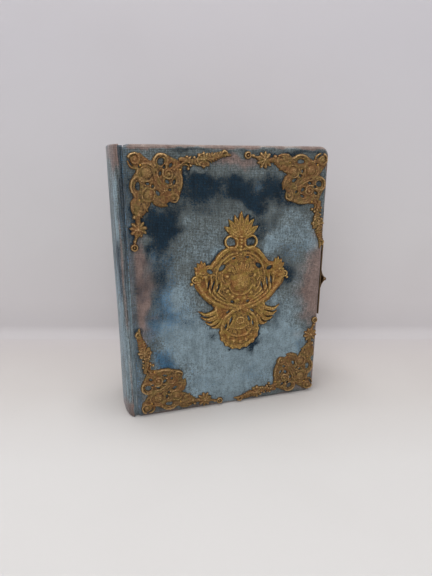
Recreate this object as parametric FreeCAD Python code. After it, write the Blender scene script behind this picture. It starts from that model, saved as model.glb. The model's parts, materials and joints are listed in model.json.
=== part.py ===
"""Musical photograph album: velvet boards, stamped brass mounts, card leaves and a cylinder movement.

The album stands upright on its tail edge. +X runs from the spine to the fore-edge, +Y from the
front cover to the back cover and +Z up. The origin is at the middle of the bounding box, at its
base. All sizes are in millimetres.
"""

import FreeCAD
import Part

import math
import os

from FreeCAD import Vector

# ---------------------------------------------------------------- driving sizes: binding
BOARD_HEIGHT = 280.0        # height of the covers and the spine, over the velvet
COVER_WIDTH = 209.0         # width of one cover, over the velvet
BOARD_THICKNESS = 5.0
VELVET = 1.0                # velvet and its glue
COVER_CORNER_R = 10.0       # round fore-edge corners of a cover
COVER_SPINE_R = 1.5         # nearly square corners beside the spine
COVER_EDGE_R = 3.0          # roll of the velvet over the outer edge
COVER_INNER_R = 1.8         # roll of the velvet over the inner edge
BOARD_INNER_R = 0.8
TURN_IN = 15.0              # velvet folded over to the inside of a board
LINING_FLANGE = 0.4
GROOVE = 2.5                # from the hinge line to the cover's edge
GROOVE_DEPTH = 4.0
RIDGE = 1.0                 # from the hinge line to the spine's ridge
RIDGE_DROP = 1.0            # how far the ridge lies under the cover's face
SOFT_GAP = 0.3              # air between velvet pieces on different bodies
GLUE = 0.05                 # between the bent layers of the spine
SPINE_BULGE = 9.5           # how far the round spine stands out behind its ends
SPINE_BOARD = 2.0
SPINE_TURN_IN = 12.0
SQUARE = 4.5                # how far the covers overhang the leaves and the lining paper
LEAVES = 9
LEAF_THICKNESS = 3.1
LEAF_NOTCH = 0.35           # rounding between two leaf edges
PLAY = 0.4                  # air between parts that move past each other
WINDOW_WIDTH = 98.0         # opening that shows a cabinet card
WINDOW_HEIGHT = 140.0
WINDOW_DEPTH = 1.0
GUARD_CLOTH = 0.8
HOLLOW_WALL = 0.6

# ---------------------------------------------------------------- driving sizes: mounts
MOUNT_PLATE = 0.8           # sheet of the stamped corners and the medallion
MOUNT_RELIEF = 3.2          # height of the highest boss over the velvet
MEDALLION_X = 116.5         # centre of the medallion from the hinge line
MEDALLION_Z = 146.0
MOUNT_FROM_HINGE = 5.4      # hinge line to the spine-side corner mounts
MOUNT_FROM_FORE = 0.8
MOUNT_FROM_HEAD = 6.0
MOUNT_FROM_TAIL = 2.5
NAIL_R = 0.55
NAIL_HEAD_R = 1.1
NAIL_LENGTH = 4.5
FOOT_R = 7.0
FOOT_HEIGHT = 6.0
FOOT_INSET = 22.0
FOOT_STUD_R = 1.2
FOOT_STUD_LENGTH = 5.0

# ---------------------------------------------------------------- driving sizes: clasp
CLASP_PLATE_LENGTH = 82.0
CLASP_PLATE_WIDTH = 6.0
CLASP_PLATE = 1.6
STRAP_HALF_WIDTH = 10.0
STRAP_RISE = 6.0
STRAP_SHEET = 1.0
STUD_BALL_R = 2.0
STUD_NECK_R = 1.1
CLASP_PIN_R = 0.9
KNUCKLE_R = 2.0
KNUCKLE_INNER = 6.5         # half the width of the strap's knuckle and its play
KNUCKLE_OUTER = 10.0        # half the width over both lugs
CLASP_PLAY = 0.4
CLASP_Z = 138.8             # height of the clasp's middle

# ---------------------------------------------------------------- driving sizes: music case
CASE_DEPTH = 28.0           # from the panel to the back board's lining
CASE_WALL = 6.0
CASE_PANEL = 2.5
SOUND_HOLES = 8
SOUND_HOLE_R = 3.0
SOUND_RING_R = 14.0
WOOD_SCREW_R = 1.1
WOOD_SCREW_LENGTH = 7.0
METAL_SCREW_R = 0.8
MOVEMENT_FROM_HINGE = 146.0
SOUND_FROM_HINGE = 60.0
BEDPLATE = 2.5
BEDPLATE_X = 68.0
BEDPLATE_Z = 134.0
RUNNING = 0.05              # radial clearance of a shaft in its hole
CYLINDER_R = 9.0
CYLINDER_LENGTH = 56.0
CYLINDER_WALL = 1.2
CYLINDER_AXIS = 16.5        # height of the cylinder's axis over the board
ARBOR_R = 1.5
COMB_TEETH = 30
COMB_PITCH = 1.8
COMB_SLOT = 0.4
COMB_SCREWS = 4
PINS = 60
PIN_R = 0.25
PIN_HEIGHT = 0.6
PIN_CLEARANCE = 0.15
CYLINDER_ASIDE = 6.0        # from the bedplate's middle to the cylinder's axis
BARREL_BELOW = 50.0         # from the bedplate's middle to the barrel's axis
BARREL_R = 16.5
BARREL_WALL = 1.0
WINDING_R = 2.5
KEY_WING = 13.0
KEY_HUB_R = 4.2
KEY_PROUD = 4.5             # how far the key stands out of the back cover
CUP_R = 15.3
CUP_WALL = 0.8
CUP_FLANGE = 2.4
CUP_LIP = 0.6
RATCHET_TEETH = 20
RATCHET_R = 7.0
RATCHET_THICKNESS = 1.6
CLICK_LIFT = 0.25           # from the ratchet's tips to the click's nose
CLICK_ASIDE = 12.5          # from the ratchet's axis to the click's stud
CLICK_ANGLE = math.radians(150)
BRIDGE_PLATE = 1.6
BRIDGE_POST = 20.5          # from the barrel's axis to each post
CROWN_TEETH = 36
CROWN_RADIUS = 15.0         # mean radius of the crown teeth
PINION_TEETH = 9
GREAT_TEETH = 42
GREAT_MODULE = 0.5
GOVERNOR_PINION_TEETH = 10
GOVERNOR_TEETH = 40
FLY_MODULE = 0.4
FLY_PINION_TEETH = 8
FLY_R = 7.0
VANE_LENGTH = 4.6
TRAIN_ARBOR_R = 0.8
FRAME_PLATE = 2.4
WHEEL_THICKNESS = 1.8
PINION_FACE = 2.4
CROWN_FACE = 2.6
FOOT_FLANGE = 4.6           # how far a bearing plate's foot reaches out
FOOT_PLATE = 1.4
STOP_SHEET = 1.4
STOP_HALF = 2.0             # half the width of the stop slide
STOP_TRAVEL = 2.4

# ---------------------------------------------------------------- places worked out from the sizes
COVER = BOARD_THICKNESS + 2 * VELVET
ALBUM_THICKNESS = (2 * (COVER + LINING_FLANGE + PLAY) + LEAVES * LEAF_THICKNESS
                   + CASE_PANEL + CASE_DEPTH)
CLASP_PROUD = CLASP_PLATE + CLASP_PLAY + STRAP_RISE
X_SPINE = -(SPINE_BULGE + RIDGE + GROOVE + COVER_WIDTH + CLASP_PROUD) / 2
X_HINGE = X_SPINE + SPINE_BULGE + RIDGE
X_COVER = X_HINGE + GROOVE
X_FORE = X_COVER + COVER_WIDTH
Y_FRONT = -(MOUNT_RELIEF + ALBUM_THICKNESS + FOOT_HEIGHT) / 2 + MOUNT_RELIEF
Y_BACK = Y_FRONT + ALBUM_THICKNESS
Y_MIDDLE = (Y_FRONT + Y_BACK) / 2
X_CASE = X_COVER + SQUARE
X_PIN = X_FORE + CLASP_PLATE + CLASP_PLAY + KNUCKLE_R
Y_PIN = Y_BACK - COVER / 2
X_LEAF = X_HINGE + 2.0
X_LEAF_FORE = X_FORE - SQUARE
Z_LEAF = SQUARE
Z_LEAF_TOP = BOARD_HEIGHT - SQUARE
Y_LEAF = Y_FRONT + COVER + LINING_FLANGE + PLAY
Y_LEAF_BACK = Y_LEAF + LEAVES * LEAF_THICKNESS
Y_PANEL = Y_LEAF_BACK + PLAY
Y_BED = Y_BACK - COVER - LINING_FLANGE
X_RIDGE = X_HINGE - RIDGE
SPINE_HALF = ALBUM_THICKNESS / 2 - RIDGE_DROP
X_MOVEMENT = X_HINGE + MOVEMENT_FROM_HINGE
Z_MOVEMENT = BOARD_HEIGHT / 2
CYLINDER_X = X_MOVEMENT + CYLINDER_ASIDE
CYLINDER_Z0 = Z_MOVEMENT - CYLINDER_LENGTH / 2
BARREL_Z = Z_MOVEMENT - BARREL_BELOW
BARREL_BASE = BEDPLATE + 1.2
CROWN_MODULE = 2 * CROWN_RADIUS / CROWN_TEETH
CROWN_PITCH_H = CYLINDER_AXIS - CROWN_MODULE * PINION_TEETH / 2
CROWN_ROOT_H = CROWN_PITCH_H - 1.2 * CROWN_MODULE
CROWN_TIP_H = CROWN_PITCH_H + 0.75 * CROWN_MODULE
TAIL_BEARING_Z = CYLINDER_Z0 - 2.0 - FRAME_PLATE
HEAD_BEARING_Z = CYLINDER_Z0 + CYLINDER_LENGTH + 2.0
GREAT_Z = HEAD_BEARING_Z + FRAME_PLATE + 1.6
GOVERNOR_X = CYLINDER_X + GREAT_MODULE * (GREAT_TEETH + GOVERNOR_PINION_TEETH) / 2
GOVERNOR_Z = GREAT_Z + 4.0
FLY_X = GOVERNOR_X + FLY_MODULE * (GOVERNOR_TEETH + FLY_PINION_TEETH) / 2
FLY_Z = GOVERNOR_Z + 3.0
OUTER_PLATE_Z = FLY_Z + VANE_LENGTH + 0.8
BRIDGE_H = CROWN_TIP_H + 0.7
RATCHET_H = BRIDGE_H + BRIDGE_PLATE + 0.2
CLICK_X = CYLINDER_X - CLICK_ASIDE
KEY_REACH = Y_BACK - Y_BED + KEY_PROUD - 1.0
COMB_X0 = X_MOVEMENT - BEDPLATE_X / 2 + 1.5
COMB_X1 = COMB_X0 + 13.0
COMB_Z0 = Z_MOVEMENT - COMB_TEETH * COMB_PITCH / 2
COMB_Z1 = Z_MOVEMENT + COMB_TEETH * COMB_PITCH / 2
COMB_H = CYLINDER_AXIS - 0.8
STOP_Z = FLY_Z + VANE_LENGTH / 2
SOUND_X = X_HINGE + SOUND_FROM_HINGE

UP = Vector(0, 0, 1)
BACKWARD = Vector(0, 1, 0)
RIGHT = Vector(1, 0, 0)


# ---------------------------------------------------------------- small helpers
def block(x0, x1, y0, y1, z0, z1):
    """A box between two corners."""
    return Part.makeBox(x1 - x0, y1 - y0, z1 - z0, Vector(x0, y0, z0))


def rod(radius, start, direction, length):
    """A cylinder from start along direction."""
    return Part.makeCylinder(radius, length, Vector(*start), direction)


def bed_y(height):
    """The y of a place at this height over the back board's inner face."""
    return Y_BED - height


def polygon(points):
    """A flat face through points."""
    corners = [Vector(*p) for p in points]
    return Part.Face(Part.makePolygon(corners + corners[:1]))


def mirrored(shape, centre, normal):
    """A mirror image of shape."""
    return shape.mirror(Vector(*centre), normal)


def joined(shapes):
    """One shape made of several that touch or overlap."""
    first, *rest = shapes
    return first.multiFuse(rest).removeSplitter() if rest else first


# ---------------------------------------------------------------- covers
def cover_outline(x0, x1, z0, z1, corner_r, y):
    """The outline of a cover in the XZ plane, round at the fore-edge and nearly square at the spine."""
    corners = [(x0, z0, COVER_SPINE_R), (x1, z0, corner_r), (x1, z1, corner_r), (x0, z1, COVER_SPINE_R)]
    edges = []
    ends = []
    for i, (x, z, r) in enumerate(corners):
        px, pz, _ = corners[i - 1]
        nx, nz, _ = corners[(i + 1) % 4]
        toward_last = Vector(px - x, 0, pz - z).normalize()
        toward_next = Vector(nx - x, 0, nz - z).normalize()
        corner = Vector(x, y, z)
        start = corner + toward_last * r
        end = corner + toward_next * r
        inward = (toward_last + toward_next).normalize()
        middle = corner + inward * (r * (math.sqrt(2) - 1))
        edges.append(Part.Arc(start, middle, end).toShape())
        ends.append((start, end))
    for i in range(4):
        edges.append(Part.LineSegment(ends[i][1], ends[(i + 1) % 4][0]).toShape())
    return Part.Face(Part.Wire(Part.__sortEdges__(edges)))


def rolled_slab(x0, x1, z0, z1, corner_r, y0, y1, outer_r, inner_r, outer_is_front):
    """A slab whose outer and inner rims are rolled over."""
    slab = cover_outline(x0, x1, z0, z1, corner_r, y0).extrude(Vector(0, y1 - y0, 0))
    front_r, back_r = (outer_r, inner_r) if outer_is_front else (inner_r, outer_r)
    for y, radius in ((y0, front_r), (y1, back_r)):
        rim = [e for e in slab.Edges
               if abs(e.BoundBox.YMin - y) < 1e-6 and abs(e.BoundBox.YMax - y) < 1e-6]
        slab = slab.makeFillet(radius, rim)
    return slab


def cover_parts(y_outer, outward):
    """Board, velvet and lining of one cover. outward is -1 at the front and +1 at the back."""
    front = outward < 0
    y_inner = y_outer - outward * COVER
    y0, y1 = sorted((y_outer, y_inner))
    skin = rolled_slab(X_COVER, X_FORE, 0, BOARD_HEIGHT, COVER_CORNER_R, y0, y1,
                       COVER_EDGE_R, COVER_INNER_R, front)
    board = rolled_slab(X_COVER + VELVET, X_FORE - VELVET, VELVET, BOARD_HEIGHT - VELVET,
                        COVER_CORNER_R - VELVET, y0 + VELVET, y1 - VELVET,
                        COVER_EDGE_R - VELVET, BOARD_INNER_R, front)
    t0, t1 = sorted((y_inner, y_inner + outward * VELVET))
    window = block(X_COVER + TURN_IN, X_FORE - TURN_IN, t0, t1, TURN_IN, BOARD_HEIGHT - TURN_IN)
    velvet = skin.cut(board).cut(window)
    f0, f1 = sorted((y_inner, y_inner - outward * LINING_FLANGE))
    flange = block(X_COVER + SQUARE, X_FORE - SQUARE, f0, f1, SQUARE, BOARD_HEIGHT - SQUARE)
    lining = window.fuse(flange).removeSplitter()
    return board, velvet, lining


# ---------------------------------------------------------------- spine and leaves
def half_ellipse(depth, half, z0, z1):
    """The solid behind the hinge line, bounded by a half ellipse."""
    centre = Vector(X_RIDGE, Y_MIDDLE, z0)
    ellipse = Part.Ellipse(centre + BACKWARD * half, centre + RIGHT * -depth, centre)
    arc = Part.ArcOfEllipse(ellipse, 0, math.pi).toShape()
    closing = Part.LineSegment(arc.Vertexes[-1].Point, arc.Vertexes[0].Point).toShape()
    return Part.Face(Part.Wire([arc, closing])).extrude(Vector(0, 0, z1 - z0))


def spine_layer(outer_inset, inner_inset, z0, z1):
    """A curved layer between two insets from the spine's outer surface."""
    outer = half_ellipse(SPINE_BULGE - outer_inset, SPINE_HALF - outer_inset, z0, z1)
    inner = half_ellipse(SPINE_BULGE - inner_inset, SPINE_HALF - inner_inset, z0, z1)
    return outer.cut(inner)


def groove_strip(y_outer, inward):
    """The velvet that dips into the groove beside the spine."""
    x_bottom = (X_RIDGE + X_COVER) / 2
    x_end = X_COVER - SOFT_GAP
    y_ridge = y_outer + inward * RIDGE_DROP
    y_bottom = y_outer + inward * GROOVE_DEPTH
    outline = [
        (X_RIDGE, y_ridge, 0), (x_bottom, y_bottom, 0), (x_end, y_bottom - inward * VELVET / 2, 0),
        (x_end, y_bottom + inward * VELVET / 2, 0), (x_bottom, y_bottom + inward * VELVET, 0),
        (X_RIDGE, y_ridge + inward * VELVET, 0),
    ]
    return polygon(outline).extrude(Vector(0, 0, BOARD_HEIGHT))


def spine_velvet():
    """Velvet over the spine, its turn-ins at head and tail, and both grooves."""
    board_inset = VELVET + SPINE_BOARD + 2 * GLUE
    turned = board_inset + HOLLOW_WALL
    height = BOARD_HEIGHT
    pieces = [spine_layer(0, VELVET, 0, height)]
    for z0, z1 in ((0, VELVET), (height - VELVET, height)):
        pieces.append(spine_layer(VELVET, turned, z0, z1))
    for z0, z1 in ((VELVET, SPINE_TURN_IN), (height - SPINE_TURN_IN, height - VELVET)):
        pieces.append(spine_layer(board_inset, turned, z0, z1))
    pieces.append(groove_strip(Y_FRONT, 1))
    pieces.append(groove_strip(Y_BACK, -1))
    return joined(pieces)


def spine_board():
    """The bent card that stiffens the spine."""
    inset = VELVET + GLUE
    return spine_layer(inset, inset + SPINE_BOARD, VELVET, BOARD_HEIGHT - VELVET)


def spine_hollow():
    """Paper tube that joins the back of the leaves to the spine."""
    inset = VELVET + SPINE_BOARD + 2 * GLUE
    z0, z1 = SPINE_TURN_IN + 2.0, BOARD_HEIGHT - SPINE_TURN_IN - 2.0
    tube = spine_layer(inset, inset + HOLLOW_WALL, z0, z1)
    x1 = X_LEAF - GUARD_CLOTH
    y0 = Y_MIDDLE - SPINE_HALF + inset
    overlap = HOLLOW_WALL / 2
    flat = block(X_RIDGE - HOLLOW_WALL, X_RIDGE, y0 + overlap, 2 * Y_MIDDLE - y0 - overlap, z0, z1)
    spacer = block(X_RIDGE, x1, Y_LEAF, Y_LEAF_BACK, z0, z1)
    return joined([tube, flat, spacer])


def guard_cloth():
    """Linen strip glued over the back of the leaves."""
    return block(X_LEAF - GUARD_CLOTH, X_LEAF, Y_LEAF, Y_LEAF_BACK, Z_LEAF + 4, Z_LEAF_TOP - 4)


def window_recess(y, into):
    """A cabinet card opening with an arched head, let into a leaf."""
    cx = (X_LEAF + X_LEAF_FORE) / 2
    z0 = (BOARD_HEIGHT - WINDOW_HEIGHT) / 2
    shoulder = z0 + WINDOW_HEIGHT - 14.0
    x0, x1 = cx - WINDOW_WIDTH / 2, cx + WINDOW_WIDTH / 2
    head = Part.Arc(Vector(x1, y, shoulder), Vector(cx, y, z0 + WINDOW_HEIGHT),
                    Vector(x0, y, shoulder)).toShape()
    sides = [Part.LineSegment(Vector(*a), Vector(*b)).toShape() for a, b in (
        ((x0, y, shoulder), (x0, y, z0)), ((x0, y, z0), (x1, y, z0)), ((x1, y, z0), (x1, y, shoulder)))]
    face = Part.Face(Part.Wire([head, *sides]))
    return face.extrude(Vector(0, into * WINDOW_DEPTH, 0))


def leaf_block():
    """The card leaves as one block, with a notch between each two leaves on three sides."""
    body = block(X_LEAF, X_LEAF_FORE, Y_LEAF, Y_LEAF_BACK, Z_LEAF, Z_LEAF_TOP)
    n = LEAF_NOTCH
    cuts = []
    for i in range(1, LEAVES):
        y = Y_LEAF + i * LEAF_THICKNESS
        fore = polygon([(X_LEAF_FORE + 1, y - 1.5 * n, Z_LEAF - 1), (X_LEAF_FORE - n, y, Z_LEAF - 1),
                        (X_LEAF_FORE + 1, y + 1.5 * n, Z_LEAF - 1)])
        cuts.append(fore.extrude(Vector(0, 0, Z_LEAF_TOP - Z_LEAF + 2)))
        for z, way in ((Z_LEAF, -1), (Z_LEAF_TOP, 1)):
            end = polygon([(X_LEAF - 1, y - 1.5 * n, z + way), (X_LEAF - 1, y, z - way * n),
                           (X_LEAF - 1, y + 1.5 * n, z + way)])
            cuts.append(end.extrude(Vector(X_LEAF_FORE - X_LEAF + 2, 0, 0)))
    cuts.append(window_recess(Y_LEAF, 1))
    cuts.append(window_recess(Y_LEAF_BACK, -1))
    return body.cut(cuts)


# ---------------------------------------------------------------- stamped mounts
def dome(x, z, base_r, height, y):
    """A spherical boss that stands out of the plane at y towards the viewer."""
    ball_r = (base_r ** 2 + height ** 2) / (2 * height)
    ball = Part.makeSphere(ball_r, Vector(x, y + ball_r - height, z))
    room = block(x - base_r - 1, x + base_r + 1, y - height - 1, y, z - base_r - 1, z + base_r + 1)
    return ball.common(room)


def star(x, z, tip_r, root_r, points, y, thickness, turn=0.0):
    """A flat star flower."""
    outline = []
    for i in range(2 * points):
        radius = tip_r if i % 2 == 0 else root_r
        angle = math.radians(turn) + math.pi * i / points
        outline.append((x + radius * math.cos(angle), y, z + radius * math.sin(angle)))
    return polygon(outline).extrude(Vector(0, -thickness, 0))


def bar(start, end, width, y, thickness):
    """A flat bar between two places, as wide as width, with round ends."""
    x0, z0 = start
    x1, z1 = end
    along = Vector(x1 - x0, 0, z1 - z0)
    side = along.cross(BACKWARD).normalize() * (width / 2)
    a, b = Vector(x0, y, z0), Vector(x1, y, z1)
    strip = polygon([a + side, b + side, b - side, a - side]).extrude(Vector(0, -thickness, 0))
    ends = [rod(width / 2, tuple(p), -BACKWARD, thickness) for p in (a, b)]
    return strip.multiFuse(ends)


def stamped(solids, openings, nails, y):
    """Sheet ornament: fused solids with openings and nail holes."""
    depth = MOUNT_PLATE + 4
    cuts = [rod(r, (x, y + 1, z), -BACKWARD, depth) for x, z, r in openings]
    cuts += [rod(NAIL_R, (x, y + 1, z), -BACKWARD, depth) for x, z in nails]
    return solids[0].multiFuse(solids[1:]).cut(cuts)


CORNER_LOBES = (            # from the mount's own corner: along the head edge, down, radius
    (7.3, 7.0, 7.0), (17.6, 19.5, 10.5), (31.6, 8.6, 8.6), (38.0, 21.0, 9.0), (8.6, 31.5, 8.6),
    (18.4, 39.0, 9.0), (33.5, 36.0, 7.5), (26.0, 28.5, 8.0), (46.5, 30.5, 6.0), (43.6, 42.0, 5.4),
    (31.0, 45.0, 6.0), (7.0, 47.0, 6.5), (5.6, 56.0, 4.6), (47.0, 16.5, 7.5),
)
CORNER_BOSSES = (           # along, down, radius, height over the velvet
    (7.3, 7.0, 3.2, 2.2), (17.6, 19.3, 5.4, MOUNT_RELIEF), (38.0, 21.0, 4.2, 2.8),
    (18.4, 39.2, 5.0, MOUNT_RELIEF), (33.5, 36.0, 3.0, 2.4), (72.0, 7.6, 2.6, 2.6), (8.0, 72.0, 2.6, 2.6),
)
CORNER_OPENINGS = (
    (31.4, 8.9, 3.4), (9.2, 31.0, 3.0), (28.4, 18.5, 2.0), (27.0, 28.0, 2.4), (26.0, 39.5, 1.6),
    (41.2, 11.3, 1.5), (40.0, 32.5, 1.6),
)
CORNER_NAILS = ((11.8, 12.6), (50.0, 12.5), (9.0, 42.5))
CORNER_ARM_TIP = 94.0       # how far the arms reach along the head and down the side
CORNER_DROP_TIP = 90.0


def corner_solids(x, z, way_x, way_z, y):
    """One corner mount's solids, with openings and nails, from its own corner and directions."""
    def at(u, v):
        return x + way_x * u, z + way_z * v

    plates = [rod(r, (at(u, v)[0], y, at(u, v)[1]), -BACKWARD, MOUNT_PLATE) for u, v, r in CORNER_LOBES]
    plates.append(bar(at(49, 14), at(57.3, 15.2), 4.0, y, MOUNT_PLATE))
    plates.append(bar(at(49, 10), at(68, 7.6), 5.5, y, MOUNT_PLATE))
    plates.append(bar(at(72, 7.6), at(84, 4.0), 4.0, y, MOUNT_PLATE))
    plates.append(bar(at(84, 4.0), at(CORNER_ARM_TIP - 1.4, 1.6), 2.8, y, MOUNT_PLATE))
    plates.append(bar(at(5.6, 56), at(8.0, 72), 4.5, y, MOUNT_PLATE))
    plates.append(bar(at(8.0, 72), at(3.0, CORNER_DROP_TIP - 1.4), 2.8, y, MOUNT_PLATE))
    for u, v in ((72.0, 7.6), (8.0, 72.0)):
        plates.append(star(*at(u, v), 7.4, 4.4, 6, y, MOUNT_PLATE, 30 if u > v else 0))
    plates += [dome(*at(u, v), r, h, y) for u, v, r, h in CORNER_BOSSES]
    openings = [(*at(u, v), r) for u, v, r in CORNER_OPENINGS]
    nails = [at(u, v) for u, v in CORNER_NAILS]
    return stamped(plates, openings, nails, y), nails


MEDALLION_LOBES = (         # right half, from the centre of the boss: across, up, radius
    (10.0, 41.0, 8.4), (14.0, 22.0, 10.0), (24.0, 19.0, 9.0), (36.0, 10.0, 9.0), (42.0, 15.0, 8.0),
    (45.0, 3.0, 7.5), (38.0, -6.0, 9.0), (31.0, -17.0, 9.0), (28.0, -29.0, 7.5), (15.0, -43.0, 9.0),
    (14.0, -55.0, 7.0), (13.0, -62.0, 7.0), (7.0, -70.0, 5.5),
)
MEDALLION_LEAVES = ((45.0, -33.5), (42.0, -41.0), (35.5, -48.0))     # tips of the side leaves
MEDALLION_CROWN = ((0.0, 71.0), (6.2, 64.8), (12.9, 65.5), (14.0, 59.5), (19.2, 57.0), (13.0, 48.0))
MEDALLION_OPENINGS = (
    (10.3, 40.0, 3.6), (21.0, 14.0, 3.2), (33.0, 10.5, 3.8), (7.4, 23.5, 1.6), (8.4, -24.5, 1.7),
    (34.0, -27.5, 2.0), (13.5, -33.5, 2.0), (27.0, -4.0, 1.4), (24.5, -12.0, 1.4), (7.5, -49.5, 1.6),
)
MEDALLION_NAILS = ((42.0, 3.0), (22.0, -25.0))
MEDALLION_BOSS_R = 10.8


def medallion():
    """The centre mount and the places of its nails."""
    x, z, y = X_HINGE + MEDALLION_X, MEDALLION_Z, Y_FRONT
    plates = [rod(28.0, (x, y, z), -BACKWARD, MOUNT_PLATE),
              bar((x, z - 20), (x, z - 66), 22.0, y, MOUNT_PLATE),
              bar((x, z + 20), (x, z + 40), 16.0, y, MOUNT_PLATE)]
    openings = []
    nails = []
    for way in (1, -1):
        plates += [rod(r, (x + way * u, y, z + v), -BACKWARD, MOUNT_PLATE) for u, v, r in MEDALLION_LOBES]
        plates += [bar((x + way * 26, z - 28), (x + way * u, z + v), 5.0, y, MOUNT_PLATE)
                   for u, v in MEDALLION_LEAVES]
        openings += [(x + way * u, z + v, r) for u, v, r in MEDALLION_OPENINGS]
        nails += [(x + way * u, z + v) for u, v in MEDALLION_NAILS]
    crown = [(x + u, y, z + v) for u, v in MEDALLION_CROWN]
    crown += [(x - u, y, z + v) for u, v in MEDALLION_CROWN[:0:-1]]
    crown = crown[:6] + [(x + 4, y, z + 38), (x - 4, y, z + 38)] + crown[6:]
    plates.append(polygon(crown).extrude(Vector(0, -MOUNT_PLATE, 0)))
    plates.append(dome(x, z, MEDALLION_BOSS_R, MOUNT_RELIEF, y))
    plates.append(dome(x, z - 58.0, 9.0, 2.6, y))
    return stamped(plates, openings, nails, y), nails


def nail(x, z, y):
    """A round-headed nail driven through a mount into the board."""
    shank = rod(NAIL_R, (x, y - MOUNT_PLATE, z), BACKWARD, MOUNT_PLATE + NAIL_LENGTH)
    return shank.fuse(dome(x, z, NAIL_HEAD_R, 0.6, y - MOUNT_PLATE))


def foot(x, z):
    """Domed foot with a stud that goes into the back board."""
    base = dome(x, z, FOOT_R, FOOT_HEIGHT, 0)
    base = mirrored(base, (0, 0, 0), BACKWARD)
    base.translate(Vector(0, Y_BACK, 0))
    return base.fuse(rod(FOOT_STUD_R, (x, Y_BACK, z), -BACKWARD, FOOT_STUD_LENGTH))


# ---------------------------------------------------------------- clasp
def clasp_plate(y_cover):
    """Plate along the fore-edge of one cover, with its four nails."""
    y0 = y_cover + (COVER - CLASP_PLATE_WIDTH) / 2
    z0 = CLASP_Z - CLASP_PLATE_LENGTH / 2
    plate = block(X_FORE, X_FORE + CLASP_PLATE, y0, y0 + CLASP_PLATE_WIDTH, z0, z0 + CLASP_PLATE_LENGTH)
    rim = [e for e in plate.Edges if e.BoundBox.XMin > X_FORE + CLASP_PLATE - 1e-6]
    plate = plate.makeChamfer(0.5, rim)
    pins = []
    for share in (-0.45, -0.25, 0.25, 0.45):
        z = CLASP_Z + share * CLASP_PLATE_LENGTH
        y = y0 + CLASP_PLATE_WIDTH / 2
        pins.append(rod(NAIL_R, (X_FORE + CLASP_PLATE, y, z), -RIGHT, CLASP_PLATE + NAIL_LENGTH))
    return plate, pins


def clasp_hinge_plate():
    """Plate on the back cover with two lugs that hold the strap's pin."""
    plate, pins = clasp_plate(Y_BACK - COVER)
    for way in (-1, 1):
        z0, z1 = sorted((CLASP_Z + way * KNUCKLE_INNER, CLASP_Z + way * KNUCKLE_OUTER))
        lug = rod(KNUCKLE_R, (X_PIN, Y_PIN, z0), UP, z1 - z0)
        neck = block(X_FORE + 0.5, X_PIN, Y_PIN - KNUCKLE_R * 0.8, Y_PIN + KNUCKLE_R * 0.8, z0, z1)
        plate = joined([plate, lug, neck])
    hole = rod(CLASP_PIN_R, (X_PIN, Y_PIN, CLASP_Z - KNUCKLE_OUTER - 1), UP, 2 * KNUCKLE_OUTER + 2)
    return plate.cut(hole), pins


def clasp_strap():
    """Strap with a hollow roof-shaped section, a knuckle behind and a ball at its front tip."""
    x0 = X_FORE + CLASP_PLATE + CLASP_PLAY
    y0 = Y_FRONT + 1.0
    y1 = Y_PIN - KNUCKLE_R - CLASP_PLAY
    rise, half, sheet = STRAP_RISE, STRAP_HALF_WIDTH, STRAP_SHEET
    foot_low, foot_high = Vector(x0, y0, CLASP_Z - half), Vector(x0, y0, CLASP_Z + half)
    top_low, top_high = Vector(x0 + rise, y0, CLASP_Z - 0.8), Vector(x0 + rise, y0, CLASP_Z + 0.8)
    waist_low = Vector(x0 + rise * 0.36, y0, CLASP_Z - half * 0.42)
    waist_high = Vector(x0 + rise * 0.36, y0, CLASP_Z + half * 0.42)
    outline = [
        Part.Arc(foot_low, waist_low, top_low).toShape(), Part.LineSegment(top_low, top_high).toShape(),
        Part.Arc(top_high, waist_high, foot_high).toShape(),
        Part.LineSegment(foot_high, foot_low).toShape(),
    ]
    roof = Part.Face(Part.Wire(outline)).extrude(Vector(0, y1 - y0, 0))
    hollow = [(x0 - 1, y0 - 1, CLASP_Z - half * 0.55), (x0 + 0.4, y0 - 1, CLASP_Z - half * 0.5),
              (x0 + rise - 2.4 * sheet, y0 - 1, CLASP_Z), (x0 + 0.4, y0 - 1, CLASP_Z + half * 0.5),
              (x0 - 1, y0 - 1, CLASP_Z + half * 0.55)]
    roof = roof.cut(polygon(hollow).extrude(Vector(0, y1 - y0 - 4.0, 0)))
    inner = KNUCKLE_INNER - CLASP_PLAY
    knuckle = rod(KNUCKLE_R, (X_PIN, Y_PIN, CLASP_Z - inner), UP, 2 * inner)
    tongue = block(x0 + 0.6, x0 + 2.6, y1 - 3.0, Y_PIN, CLASP_Z - inner, CLASP_Z + inner)
    neck = rod(STUD_NECK_R, (x0 + rise - 2.2, y0 + 3.0, CLASP_Z), -BACKWARD, 3.0)
    ball = Part.makeSphere(STUD_BALL_R, Vector(x0 + rise - 2.2, y0, CLASP_Z))
    strap = joined([roof, tongue, knuckle, neck, ball])
    return strap.cut(rod(CLASP_PIN_R + RUNNING, (X_PIN, Y_PIN, CLASP_Z - inner - 1), UP, 2 * inner + 2))


def clasp_pin():
    """The strap's hinge pin."""
    return rod(CLASP_PIN_R, (X_PIN, Y_PIN, CLASP_Z - KNUCKLE_OUTER), UP, 2 * KNUCKLE_OUTER)


# ---------------------------------------------------------------- music case
def case_walls():
    """Four walls that stand on the back cover's lining round the movement."""
    y0, y1 = Y_PANEL + CASE_PANEL, Y_BED
    x0, x1, z0, z1, w = X_CASE, X_LEAF_FORE, Z_LEAF, Z_LEAF_TOP, CASE_WALL
    return {
        "case_tail_wall": block(x0, x1, y0, y1, z0, z0 + w),
        "case_head_wall": block(x0, x1, y0, y1, z1 - w, z1),
        "case_spine_wall": block(x0, x0 + w, y0, y1, z0 + w, z1 - w),
        "case_fore_wall": block(x1 - w, x1, y0, y1, z0 + w, z1 - w),
    }


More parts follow.
